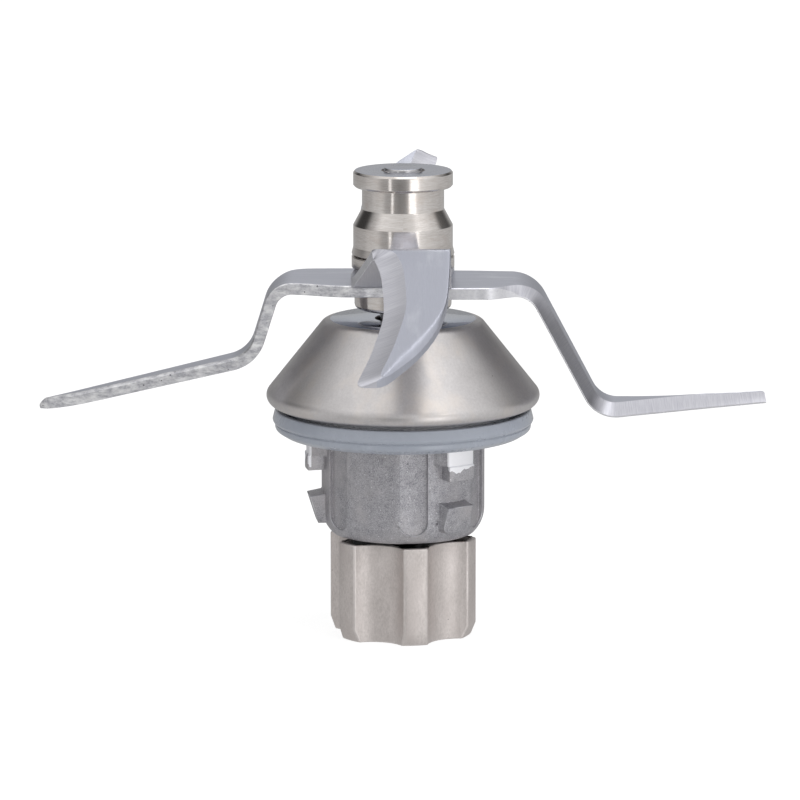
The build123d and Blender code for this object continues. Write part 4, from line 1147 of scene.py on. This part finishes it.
@dataclass(frozen=True)
class Arm:
    """One arm of a blade, pointing along +X with its cutting edge towards -Y.

    Attributes:
        side: corners (distance out, height) of the sheet's middle plane, in millimetres.
        bends: bend radius at each inner corner.
        lead, trail: (distance out, offset) of the cutting edge and of the back edge.
        grind: (distance out, width) of the bevel.
        rounds: corner radii of the tip, at the cutting edge and at the back edge.
        heading: turn of the arm about the spindle, in degrees.
        roll: (distance out, width) of the softened corner along the back edge.
        torn: whether that edge is left as the shears made it.
    """

    side: tuple
    bends: tuple
    lead: tuple
    trail: tuple
    grind: tuple
    rounds: Point
    heading: float
    roll: tuple = ((0, 0.16), (60, 0.16))
    torn: bool = True

    def stations(self, pitch: float) -> list[tuple]:
        """Places along the bent middle plane.

        Args:
            pitch: distance between places on the straight runs, in millimetres.

        Returns:
            (distance out, height, slope) of each place.
        """
        found: list[tuple] = []
        start = self.side[0]
        slope_out = 0.0
        for index, radius in enumerate(self.bends, start=1):
            before, corner, after = self.side[index - 1:index + 2]
            slope_in = atan2(corner[1] - before[1], corner[0] - before[0])
            slope_out = atan2(after[1] - corner[1], after[0] - corner[0])
            turn = slope_out - slope_in
            reach = radius * tan(abs(turn) / 2)
            bend = (corner[0] - reach * cos(slope_in), corner[1] - reach * sin(slope_in))
            found += self.run(start, bend, slope_in, pitch)
            way = 1 if turn > 0 else -1
            centre = (bend[0] - way * radius * sin(slope_in),
                      bend[1] + way * radius * cos(slope_in))
            steps = max(BEND_SPANS, round(abs(degrees(turn)) / BEND_STEP))
            for step in range(steps):
                slope = slope_in + turn * step / steps
                found.append((centre[0] + way * radius * sin(slope),
                              centre[1] - way * radius * cos(slope), slope))
            start = (corner[0] + reach * cos(slope_out), corner[1] + reach * sin(slope_out))
        end = self.side[-1]
        near = 2 * max(self.rounds)
        length = hypot(end[0] - start[0], end[1] - start[1])
        last = (end[0] - (end[0] - start[0]) * near / length,
                end[1] - (end[1] - start[1]) * near / length)
        found += self.run(start, last, slope_out, pitch)
        for step in range(TIP_SPANS + 1):
            share = sin(pi / 2 * step / TIP_SPANS)
            found.append((last[0] + (end[0] - last[0]) * share,
                          last[1] + (end[1] - last[1]) * share, slope_out))
        return found

    @staticmethod
    def run(start: Point, end: Point, slope: float, pitch: float) -> list[tuple]:
        """Places along a straight run, its end left out.

        Args:
            start: (distance out, height) where it starts.
            end: where it ends.
            slope: its slope.
            pitch: distance between places.

        Returns:
            (distance out, height, slope) of each place.
        """
        length = hypot(end[0] - start[0], end[1] - start[1])
        steps = max(1, round(length / pitch))
        return [(start[0] + (end[0] - start[0]) * k / steps,
                 start[1] + (end[1] - start[1]) * k / steps, slope) for k in range(steps)]

    def edges(self, out: float) -> Point:
        """Offsets of the cutting edge and of the back edge, with the tip's corners rounded."""
        return (smooth_value(self.lead, out) - self.inset(out, self.rounds[0]),
                smooth_value(self.trail, out) + self.inset(out, self.rounds[1]))

    def inset(self, out: float, radius: float) -> float:
        """How far a rounded corner of the tip stands back from the edge's line.

        Args:
            out: distance out.
            radius: the corner's radius.

        Returns:
            The distance.
        """
        left = max(0.0, self.side[-1][0] - out)
        if left >= radius:
            return 0.0
        return radius - sqrt(max(0.0, radius ** 2 - (radius - left) ** 2))


@dataclass(frozen=True)
class Wave:
    """Unevenness of an edge: height in millimetres, waves per millimetre, place in the noise."""

    height: float
    pace: float
    place: float

    def at(self, travel: float, side: float) -> float:
        """Value at a distance along the arm."""
        return self.height * noise.noise((travel * self.pace, side, self.place))


@dataclass(frozen=True)
class EdgeForm:
    """Small forms along the edges of a blade, in millimetres.

    Attributes:
        nick: unevenness of the cutting edge.
        ragged: unevenness of the back edge.
        bow: height and pace of the unevenness of the back edge's face.
        bow_side: place of that face's foot in the noise, and of its head from there.
        land: thickness left at the ground edge.
        dull: width of the bevel up to which the edge isn't ground.
        ground: width from which it is fully ground.
        hollow: depth of the hollow across the bevel, and the width that has it in full.
        least_chord: least width of the arm.
        bevel_room, roll_room, drop_room: share of the width or thickness that the bevel, the
            back edge's softened corner and its depth may take.
        corner: least width and depth of that softened corner.
        rest: width that it keeps where there is no room for it.
        fall: how much deeper it is for each millimetre that it is wider.
        heel, toe: size of the lower corners, (in, up) at the back edge and at the cutting edge.
        spans: spans in the back edge's face and in its softened corner.
    """

    nick: Wave = Wave(0.05, 0.9, 3.0)
    ragged: tuple[Wave, ...] = (Wave(0.08, 0.5, 0.0), Wave(0.04, 1.6, 1.0))
    bow: Point = (0.05, 1.2)
    bow_side: Point = (5.0, 2.0)
    land: float = 0.25
    dull: float = 0.15
    ground: float = 1.0
    hollow: Point = (0.07, 3.0)
    least_chord: float = 0.2
    bevel_room: float = 0.95
    roll_room: float = 0.6
    drop_room: float = 0.4
    corner: float = 0.16
    rest: float = 0.02
    fall: float = 0.22
    heel: Point = (0.1, 0.08)
    toe: float = 0.06
    spans: int = 6


def shares(count: int) -> list[float]:
    """Shares from 0 up to, not including, 1."""
    return [k / count for k in range(count)]


@dataclass
class Blade:
    """A blade cut from one sheet: two bent arms with ground edges.

    Attributes:
        palette: the materials.
        burrs: the tree that leaves burrs.
        node: the CAD node that the piece stands for.
        arms: the two arms.
        thickness: of the sheet, in millimetres.
        bore: radius of the hole for the spindle.
        bore_spans: number of spans round that hole.
        pitch: distance between sections.
        across: spans across the flat, and across the bevel.
        form: small forms along the edges.
        root: distance out from which the edges have burrs.
        burr_pitch: distance between the places that may have one.
        burr_lift: height of the burrs' centres over the underside.
        burr: size of a burr, share of the places that have one, and seed.
        drill: depth of the cut for the hole.
    """

    palette: Palette
    burrs: bpy.types.NodeTree
    node: str
    arms: tuple
    thickness: float = 2.0
    bore: float = 3.36
    bore_spans: int = 96
    pitch: float = 0.4
    across: tuple[int, int] = (12, 8)
    form: EdgeForm = EdgeForm()
    root: float = 9.0
    burr_pitch: float = 0.3
    burr_lift: float = 0.02
    burr: tuple = (0.07, 0.16, 7)
    drill: float = 20.0

    def section(self, arm: Arm, out: float, travel: float) -> list[tuple]:
        """Points around one section of an arm.

        Args:
            arm: the arm.
            out: distance out.
            travel: length of sheet up to there.

        Returns:
            (across, above the middle plane, zone of the next face) of each point.
        """
        form = self.form
        half = self.thickness / 2
        lead, trail = arm.edges(out)
        lead += form.nick.at(travel, arm.heading)
        trail += sum(wave.at(travel, arm.heading) for wave in form.ragged)
        chord = max(form.least_chord, lead - trail)
        grind = smooth_value(arm.grind, out)
        ground = min(1.0, max(0.0, (grind - form.dull) / (form.ground - form.dull)))
        land = (self.thickness - form.dull) * (1 - ground) + form.land * ground
        climb = (self.thickness - land) / grind
        bevel = min(grind, form.bevel_room * chord)
        bevel_top = land + climb * bevel - half
        back_top = min(half, land + climb * chord - half)
        wide = min(smooth_value(arm.roll, out), form.roll_room * (chord - bevel) + form.rest)
        drop = min(form.corner + form.fall * max(0.0, wide - form.corner),
                   form.drop_room * (back_top + half))
        edge_zone = Zone.SHEARED if arm.torn else Zone.SHEET
        heel_in, heel_up = form.heel
        bow = Wave(*form.bow, arm.heading)
        bow_foot, bow_rise = form.bow_side
        hollow, hollow_width = form.hollow
        flat, ground_spans = self.across
        points = []
        for share in shares(form.spans):
            points.append((trail + bow.at(travel, bow_foot + share * bow_rise),
                           -half + heel_up + (back_top - drop + half - heel_up) * share,
                           edge_zone))
        for share in shares(form.spans):
            points.append((trail + wide * share, back_top - drop * (1 - share) ** 2, edge_zone))
        for share in shares(flat):
            points.append((trail + wide + (lead - bevel - trail - wide) * share,
                           back_top + (bevel_top - back_top) * share, Zone.SHEET))
        for share in shares(ground_spans):
            sag = -hollow * ground * min(1.0, bevel / hollow_width) * sin(pi * share)
            points.append((lead - bevel + bevel * share,
                           bevel_top + (land - half - bevel_top) * share + sag, Zone.BEVEL))
        points += [(lead, land - half, Zone.LAND), (lead, -half + form.toe, Zone.LAND)]
        for share in (*shares(flat), 1.0):
            points.append((lead - form.toe + (trail + heel_in - lead + form.toe) * share, -half,
                           Zone.UNDER))
        return points

    def edge_points(self, arm: Arm) -> list[Vector]:
        """Points along the lower corner of both edges of an arm.

        Args:
            arm: the arm.

        Returns:
            The points, in millimetres.
        """
        turn = Matrix.Rotation(radians(arm.heading), 3, "Z")
        below = self.burr_lift - self.thickness / 2
        return [turn @ Vector((out - below * sin(slope), -offset, height + below * cos(slope)))
                for out, height, slope in arm.stations(self.burr_pitch) if out > self.root
                for offset in arm.edges(out)]

    def tear_edges(self) -> None:
        """Leave burrs along the blade's lower corners."""
        name = f"{self.node}_burrs"
        points = [point for arm in self.arms for point in self.edge_points(arm)]
        piece = new_piece(name, point_mesh(name, points))
        size, share, seed = self.burr
        run_tree(piece, self.burrs, {"Size": size * MM, "Share": share, "Seed": seed,
                                     "Finish": self.palette.get("land")})
        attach(piece, Body.ROTOR.value)
        log.info("%s: %d faces", piece.name, len(piece.data.polygons))

    def arm_mesh(self, arm: Arm, work: bmesh.types.BMesh) -> None:
        """Add one arm to a mesh.

        Args:
            arm: the arm.
            work: the mesh that it goes into.
        """
        unwrap = work.loops.layers.uv.verify()
        turn = Matrix.Rotation(radians(arm.heading), 3, "Z")
        rings = []
        travel = 0.0
        last = None
        for out, height, slope in arm.stations(self.pitch):
            if last is not None:
                travel += hypot(out - last[0], height - last[1])
            last = (out, height)
            ring = []
            for offset, above, zone in self.section(arm, out, travel):
                spot = Vector((out - above * sin(slope), -offset, height + above * cos(slope)))
                ring.append((work.verts.new(turn @ spot * MM), offset, zone))
            rings.append((travel, ring))
        for (near, ring), (far, following) in zip(rings, rings[1:]):
            for k, here in enumerate(ring):
                j = (k + 1) % len(ring)
                corners = (here, ring[j], following[j], following[k])
                face = work.faces.new([corner[0] for corner in corners])
                face.material_index = here[2].value
                face.smooth = True
                for loop, (_, offset, _), length in zip(face.loops, corners,
                                                        (near, near, far, far)):
                    loop[unwrap].uv = (length * MM + arm.heading, offset * MM)
        for _, ring in (rings[0], rings[-1]):
            face = work.faces.new([corner[0] for corner in ring])
            face.material_index = Zone.BEVEL.value

    def dress(self, mesh: bpy.types.Mesh) -> None:
        """Give a mesh the finish of each zone, in their order."""
        for finish in ("sheet", "bevel", "sheared", "land", "under"):
            mesh.materials.append(self.palette.get(finish))

    def bored_arm(self, arm: Arm) -> bpy.types.Object:
        """Make one arm with its share of the hole for the spindle.

        Args:
            arm: the arm.

        Returns:
            A piece with the arm alone.
        """
        work = bmesh.new()
        self.arm_mesh(arm, work)
        bmesh.ops.recalc_face_normals(work, faces=work.faces)
        mesh = bpy.data.meshes.new("arm")
        work.to_mesh(mesh)
        work.clear()
        bmesh.ops.create_cone(work, cap_ends=True, segments=self.bore_spans,
                              radius1=self.bore * MM, radius2=self.bore * MM,
                              depth=self.drill * MM,
                              matrix=Matrix.Translation((0.0, 0.0, arm.side[0][1] * MM)))
        drill_mesh = bpy.data.meshes.new("drill")
        work.to_mesh(drill_mesh)
        work.free()
        self.dress(mesh)
        half, drill = new_piece("arm", mesh), new_piece("drill", drill_mesh)
        cut = half.modifiers.new("bore", "BOOLEAN")
        cut.operation = "DIFFERENCE"
        cut.solver = "EXACT"
        cut.object = drill
        plain_mesh(half)
        bpy.data.objects.remove(drill)
        return half

    def build(self) -> None:
        """Make the blade and put it in its node's place."""
        name = f"{self.node}_ground"
        whole = bmesh.new()
        for arm in self.arms:
            half = self.bored_arm(arm)
            whole.from_mesh(half.data)
            bpy.data.objects.remove(half)
        bmesh.ops.recalc_face_normals(whole, faces=whole.faces)
        mesh = bpy.data.meshes.new(name)
        whole.to_mesh(mesh)
        whole.free()
        mesh.set_sharp_from_angle(angle=radians(GROUND_CREASE))
        piece = new_piece(name, mesh)
        self.dress(mesh)
        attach(piece, Body.ROTOR.value)
        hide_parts(self.node)
        log.info("%s: %d faces", piece.name, len(mesh.polygons))
        self.tear_edges()


# Heights of the middle planes of the two blades at the hub, in millimetres
LOWER_MID = 61.1
UPPER_MID = 63.1
# Arms of the lower blade, then of the upper one, with lengths in millimetres
LEFT_ARM = Arm(
    side=((0, LOWER_MID), (21.85, LOWER_MID), (25.8, LOWER_MID - 12.6),
          (63.1, LOWER_MID - 21.6)),
    bends=(4.0, 6.5),
    lead=((0, 8.3), (9.0, 10.6), (18.2, 10.3), (21.5, 7.8), (25, 6.5), (38, 6.0),
          (52, 5.6), (63.1, 5.2)),
    trail=((0, -8.3), (9.0, -8.3), (18, -5.6), (25, -4.4), (40, -2.9), (55.5, -1.4),
           (60.0, 0.6), (62.0, 2.6), (63.1, 4.4)),
    grind=((0, 0.15), (16, 0.15), (24, 3.5), (56, 3.7), (63.1, 3.2)),
    rounds=(0.3, 0.3), heading=180.0,
    roll=((0, 0.16), (20, 0.2), (30, 1.0), (58, 1.1), (63.1, 0.3)))
RIGHT_ARM = Arm(
    side=((0, LOWER_MID), (22.1, LOWER_MID), (33.65, LOWER_MID - 21.55),
          (62.0, LOWER_MID - 18.2)),
    bends=(5.5, 5.0),
    lead=((0, 8.3), (9.0, 10.6), (14.5, 10.5), (18.5, 8.2), (23, 6.6), (32, 6.3),
          (46, 7.1), (62.0, 8.7)),
    trail=((0, -8.3), (9.0, -8.3), (18, -7.5), (31, -6.2), (36, -3.8), (41, -0.6),
           (47, 2.3), (53, 4.1), (62.0, 5.3)),
    grind=((0, 0.15), (15.5, 0.15), (20, 1.0), (26, 3.6), (50, 3.7), (62.0, 4.6)),
    rounds=(0.2, 0.8), heading=0.0)
FRONT_ARM = Arm(
    side=((0, UPPER_MID), (11.2, UPPER_MID), (19.5, UPPER_MID + 6.5),
          (54.5, UPPER_MID - 9.3)),
    bends=(2.4, 2.0),
    lead=((0, 8.2), (9.0, 8.9), (10.6, 8.8), (11.6, 8.4), (19.5, 5.1), (26, 3.6), (34, 3.2),
          (44, 4.8), (54.5, 7.8)),
    trail=((0, -8.2), (9.0, -8.2), (20, -8.0), (32, -7.5), (40, -5.9), (46.5, -2.9),
           (51, 0.3), (54.5, 3.1)),
    grind=((0, 0.15), (18.8, 0.15), (21.0, 3.4), (26.0, 3.7), (54.5, 3.8)),
    rounds=(1.4, 1.2), heading=-90.0,
    roll=((0, 0.16), (34, 0.2), (45, 2.0), (54.5, 2.4)), torn=False)
BACK_ARM = Arm(
    side=((0, UPPER_MID), (11.2, UPPER_MID), (57.0, UPPER_MID + 12.7)),
    bends=(3.0,),
    lead=((0, 8.2), (9.0, 8.9), (12, 8.7), (21, 5.2), (28, 3.8), (36, 3.6), (46, 4.7),
          (57, 6.4)),
    trail=((0, -8.2), (9.0, -8.2), (20, -8.0), (34, -7.2), (42, -5.2), (48, -2.5),
           (53, 0.4), (57, 3.0)),
    grind=((0, 0.15), (14, 0.15), (20, 3.6), (54, 3.8), (57, 3.8)),
    rounds=(1.2, 1.6), heading=90.0)


@dataclass
class DriveEnd:
    """Cast bearing housing and fluted coupling, with eased edges.

    Attributes:
        palette: the materials.
        cast: form of the casting's edge rounds.
        drawn: form of the coupling's.
    """

    palette: Palette
    cast: Easing = Easing(0.13, 0.06)
    drawn: Easing = Easing(0.30, 0.002)

    def build(self) -> None:
        """Make the housing and the coupling and put them in their nodes' places."""
        for node, easing, finish, body in (
                ("bearing_housing", self.cast, "casting", Body.HOUSING),
                ("coupling_cup", self.drawn, "coupling", Body.ROTOR)):
            # Outer edges get the lighter edge material: partly wear, partly a painted highlight
            piece = refined_copy(node, f"{node}_eased", easing,
                                 (self.palette.get(finish), self.palette.get(f"{finish}_edge")))
            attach(piece, body.value)
            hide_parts(node)
            log.info("%s: %d faces", piece.name, len(piece.data.polygons))


@dataclass
class BallRow:
    """Balls of one bearing.

    Attributes:
        palette: the materials.
        balls: the tree that sets a ball on every point.
        node: the CAD node that they stand for.
        body: the ball set that they ride.
        track: radius of the circle through their centres, in millimetres.
        radius: of each ball.
        count: number of balls.
    """

    palette: Palette
    balls: bpy.types.NodeTree
    node: str
    body: Body
    track: float = 7.5
    radius: float = 2.0
    count: int = 7

    def build(self) -> None:
        """Set the balls on their track."""
        low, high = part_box(self.node)
        height = (low.z + high.z) / 2 / MM
        name = f"{self.node}_row"
        centres = [Vector((self.track * cos(2 * pi * k / self.count),
                           self.track * sin(2 * pi * k / self.count), height))
                   for k in range(self.count)]
        piece = new_piece(name, point_mesh(name, centres))
        run_tree(piece, self.balls, {"Radius": self.radius * MM,
                                     "Finish": self.palette.get("ball")})
        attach(piece, self.body.value)
        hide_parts(self.node)
        log.info("%s: %d faces", piece.name, len(piece.data.polygons))


@dataclass(frozen=True)
class Softbox:
    """One area light.

    Attributes:
        name: its name.
        place: its centre, in metres.
        aim: the point that it faces.
        size: width and height, in metres.
        watts: its power.
    """

    name: str
    place: Triple
    aim: Triple
    size: Point
    watts: float

    def build(self) -> None:
        """Hang the light."""
        lamp = bpy.data.lights.new(self.name, "AREA")
        lamp.shape = "RECTANGLE"
        lamp.size, lamp.size_y = self.size
        lamp.energy = self.watts
        holder = bpy.data.objects.new(self.name, lamp)
        bpy.context.scene.collection.objects.link(holder)
        holder.location = self.place
        way = Vector(self.aim) - Vector(self.place)
        holder.rotation_euler = way.to_track_quat("-Z", "Y").to_euler()


@dataclass
class Studio:
    """Pale floor, soft lights and the camera at the photograph's angle.

    Attributes:
        elevation: the camera's angle above level, in degrees.
        distance: from the camera to the point that it looks at, in metres.
        target: height of that point.
        aside: how far the camera stands to the left of the spindle.
        lens: focal length for a 36 mm sensor.
        low: brightness around the unit at the level of the floor.
        middle: brightness half way up.
        high: brightness overhead.
        ground: brightness of the table right below.
        levels: sines of the angles above level between which the surroundings pass from the
            ground to low, from low to middle and from middle to high.
        floor_reach: half width of the floor.
        floor_tones: what the floor scatters and what it glows with.
    """

    elevation: float = 10.6
    distance: float = 1.0
    target: float = 0.0408
    aside: float = 0.00052
    lens: float = 261.0
    low: tuple = ((-180, 0.42), (-136, 0.46), (-104, 0.53), (-86, 0.67), (-64, 0.73),
                  (-46, 0.46), (-34, 0.40), (-31.5, 1.6), (-29, 1.6), (-26, 0.38), (-8, 0.28),
                  (4, 0.33), (14, 0.55), (19, 2.0), (34, 2.0), (40, 1.05), (58, 0.86),
                  (76, 0.76), (96, 0.66), (136, 0.56), (180, 0.42))
    middle: tuple = ((-180, 0.55), (-160, 0.34), (-140, 0.05), (-110, 0.05), (-86, 0.42),
                     (-60, 0.85), (0, 0.80), (60, 0.95), (92, 0.72), (112, 0.14), (142, 0.08),
                     (160, 0.34), (180, 0.55))
    high: tuple = ((-180, 0.60), (-162, 0.66), (-142, 0.98), (-112, 0.76), (-68, 1.18),
                   (-20, 0.92), (0, 0.84), (20, 0.98), (53, 1.42), (90, 1.0), (128, 0.66),
                   (141, 0.70), (152, 2.8), (163, 0.68), (180, 0.58))
    ground: float = 0.62
    levels: tuple[Point, ...] = ((-0.85, -0.40), (-0.08, 0.22), (0.42, 0.80))
    floor_reach: float = 6.0
    floor_tones: Point = (0.28, 0.84)

    def floor(self) -> None:
        """Lay the floor: white with a soft shadow, and not mirrored in the metal."""
        reach = self.floor_reach
        mesh = bpy.data.meshes.new("studio_floor")
        mesh.from_pydata([(-reach, -reach, 0), (reach, -reach, 0), (reach, reach, 0),
                          (-reach, reach, 0)], [], [(0, 1, 2, 3)])
        floor = new_piece("studio_floor", mesh)
        paint = bpy.data.materials.new("white_floor")
        paint.use_nodes = True
        kit = Sockets(paint.node_tree)
        paint.node_tree.nodes.clear()
        matt, glow = ((tone, tone, tone, 1.0) for tone in self.floor_tones)
        lit = kit.add("ShaderNodeAddShader", {
            0: kit.add("ShaderNodeBsdfDiffuse", {"Color": matt}).outputs[0],
            1: kit.add("ShaderNodeEmission", {"Color": glow}).outputs[0]})
        clear = kit.add("ShaderNodeBsdfTransparent")
        path = kit.add("ShaderNodeLightPath")
        mixed = kit.add("ShaderNodeMixShader", {0: path.outputs["Is Camera Ray"],
                                                1: clear.outputs[0], 2: lit.outputs[0]})
        kit.add("ShaderNodeOutputMaterial", {0: mixed.outputs[0]})
        mesh.materials.append(paint)

    @staticmethod
    def band(kit: Sockets, turn: bpy.types.NodeSocket,
             stops: tuple[Point, ...]) -> bpy.types.NodeSocket:
        """Brightness around the unit at one height.

        Args:
            kit: the world's nodes.
            turn: direction from 0 to 1, with 0.5 towards the camera and 0.75 towards +X.
            stops: (degrees from the camera towards +X, brightness), in rising order.

        Returns:
            The brightness.
        """
        node = kit.add("ShaderNodeValToRGB", {0: turn})
        ramp = node.color_ramp
        ramp.interpolation = "EASE"
        ramp.elements[0].position = 0.0
        ramp.elements[1].position = 1.0
        for degrees_round, _ in stops[1:-1]:
            ramp.elements.new((degrees_round + 180) / 360)
        for element, (_, level) in zip(ramp.elements, stops):
            element.color = (level, level, level, 1.0)
        return node.outputs[0]

    def air(self) -> None:
        """Light the surroundings: soft boxes above and at the front, dark flags behind."""
        world = bpy.data.worlds.new("studio_air")
        bpy.context.scene.world = world
        world.use_nodes = True
        kit = Sockets(world.node_tree)
        world.node_tree.nodes.clear()
        way = kit.add("ShaderNodeTexCoord")
        parts = kit.add("ShaderNodeSeparateXYZ", {0: way.outputs["Generated"]})
        turn = kit.math("ARCTAN2", parts.outputs[0], kit.math("MULTIPLY", parts.outputs[1], -1.0))
        turn = kit.spread(turn, -pi, pi, 0.0, 1.0)
        low, middle, high = (self.band(kit, turn, stops)
                             for stops in (self.low, self.middle, self.high))
        lifting, rising, topping = (kit.spread(parts.outputs[2], first, last, 0.0, 1.0)
                                    for first, last in self.levels)
        ground = kit.blend(lifting, (self.ground, self.ground, self.ground, 1.0), low)
        around = kit.blend(topping, kit.blend(rising, ground, middle), high)
        path = kit.add("ShaderNodeLightPath")
        seen = kit.blend(path.outputs["Is Camera Ray"], around, (1.0, 1.0, 1.0, 1.0))
        glow = kit.add("ShaderNodeBackground", {"Color": seen, "Strength": 1.0})
        kit.add("ShaderNodeOutputWorld", {0: glow.outputs[0]})

    def camera(self) -> None:
        """Set the camera."""
        lens = bpy.data.cameras.new("photo_camera")
        lens.lens = self.lens
        lens.sensor_width = 36.0
        lens.clip_start = 0.01
        holder = bpy.data.objects.new("photo_camera", lens)
        bpy.context.scene.collection.objects.link(holder)
        tilt = radians(self.elevation)
        holder.location = (-self.aside, -self.distance * cos(tilt),
                           self.target + self.distance * sin(tilt))
        holder.rotation_euler = (pi / 2 - tilt, 0.0, 0.0)
        bpy.context.scene.camera = holder

    def build(self) -> None:
        """Set up the studio."""
        bpy.context.scene.view_settings.view_transform = "Standard"
        self.floor()
        self.air()
        self.camera()
        for light in (
                Softbox("overhead", (0.1, -0.3, 1.3), (0, 0, 0.05), (0.7, 0.7), 1.5),
                Softbox("rear_strip", (0, 0.9, 0.83), (0, 0, 0.06), (0.4, 0.2), 0.45),
                Softbox("key_right", (0.75, -0.95, 0.75), (0, 0, 0.05), (0.3, 0.3), 0.5)):
            light.build()


# Nodes of each finish
NODE_FINISHES = {
    "spindle": "spindle", "core": "coupling_core", "rubber": "shaft_seal", "cone": "cone_cover",
    "seal": "seal_ring", "casting": "bearing_housing", "coupling": "coupling_cup",
    "hub": "hub_knob clamp_ring blade_seat_collar", "sheet": "lower_blade upper_blade",
    "spring": "garter_spring housing_circlip lower_shaft_circlip upper_shaft_circlip",
    "race": "lower_inner_race lower_outer_race upper_inner_race upper_outer_race",
    "ball": "lower_bearing_balls upper_bearing_balls", "cage": "lower_ball_cage upper_ball_cage",
    "fastener": "bearing_spacer seal_seat seal_case coupling_washer coupling_screw "
                "lower_bearing_bottom_shield lower_bearing_top_shield "
                "upper_bearing_bottom_shield upper_bearing_top_shield",
}


def dress_nodes(palette: Palette) -> None:
    """Give every CAD node its finish.

    Args:
        palette: the materials.
    """
    for key, names in NODE_FINISHES.items():
        finish = palette.get(key)
        for name in names.split():
            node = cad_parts[name]
            if not node.data.materials:
                node.data.materials.append(finish)
            for slot in node.material_slots:
                slot.material = finish


def main() -> None:
    """Build the looks around the frame."""
    logging.basicConfig(level=logging.INFO, format="%(name)s: %(message)s")
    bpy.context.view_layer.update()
    palette = Palette(Effects())
    dress_nodes(palette)
    lathe = lathe_tree()
    HubStack(palette, lathe).build()
    ConeAndSeal(palette, lathe).build()
    burrs = burr_tree()
    Blade(palette, burrs, "lower_blade", (LEFT_ARM, RIGHT_ARM)).build()
    Blade(palette, burrs, "upper_blade", (FRONT_ARM, BACK_ARM)).build()
    DriveEnd(palette).build()
    balls = ball_tree()
    BallRow(palette, balls, "lower_bearing_balls", Body.LOWER_BALLS).build()
    BallRow(palette, balls, "upper_bearing_balls", Body.UPPER_BALLS).build()
    Studio().build()


if __name__ == "__main__":
    main()
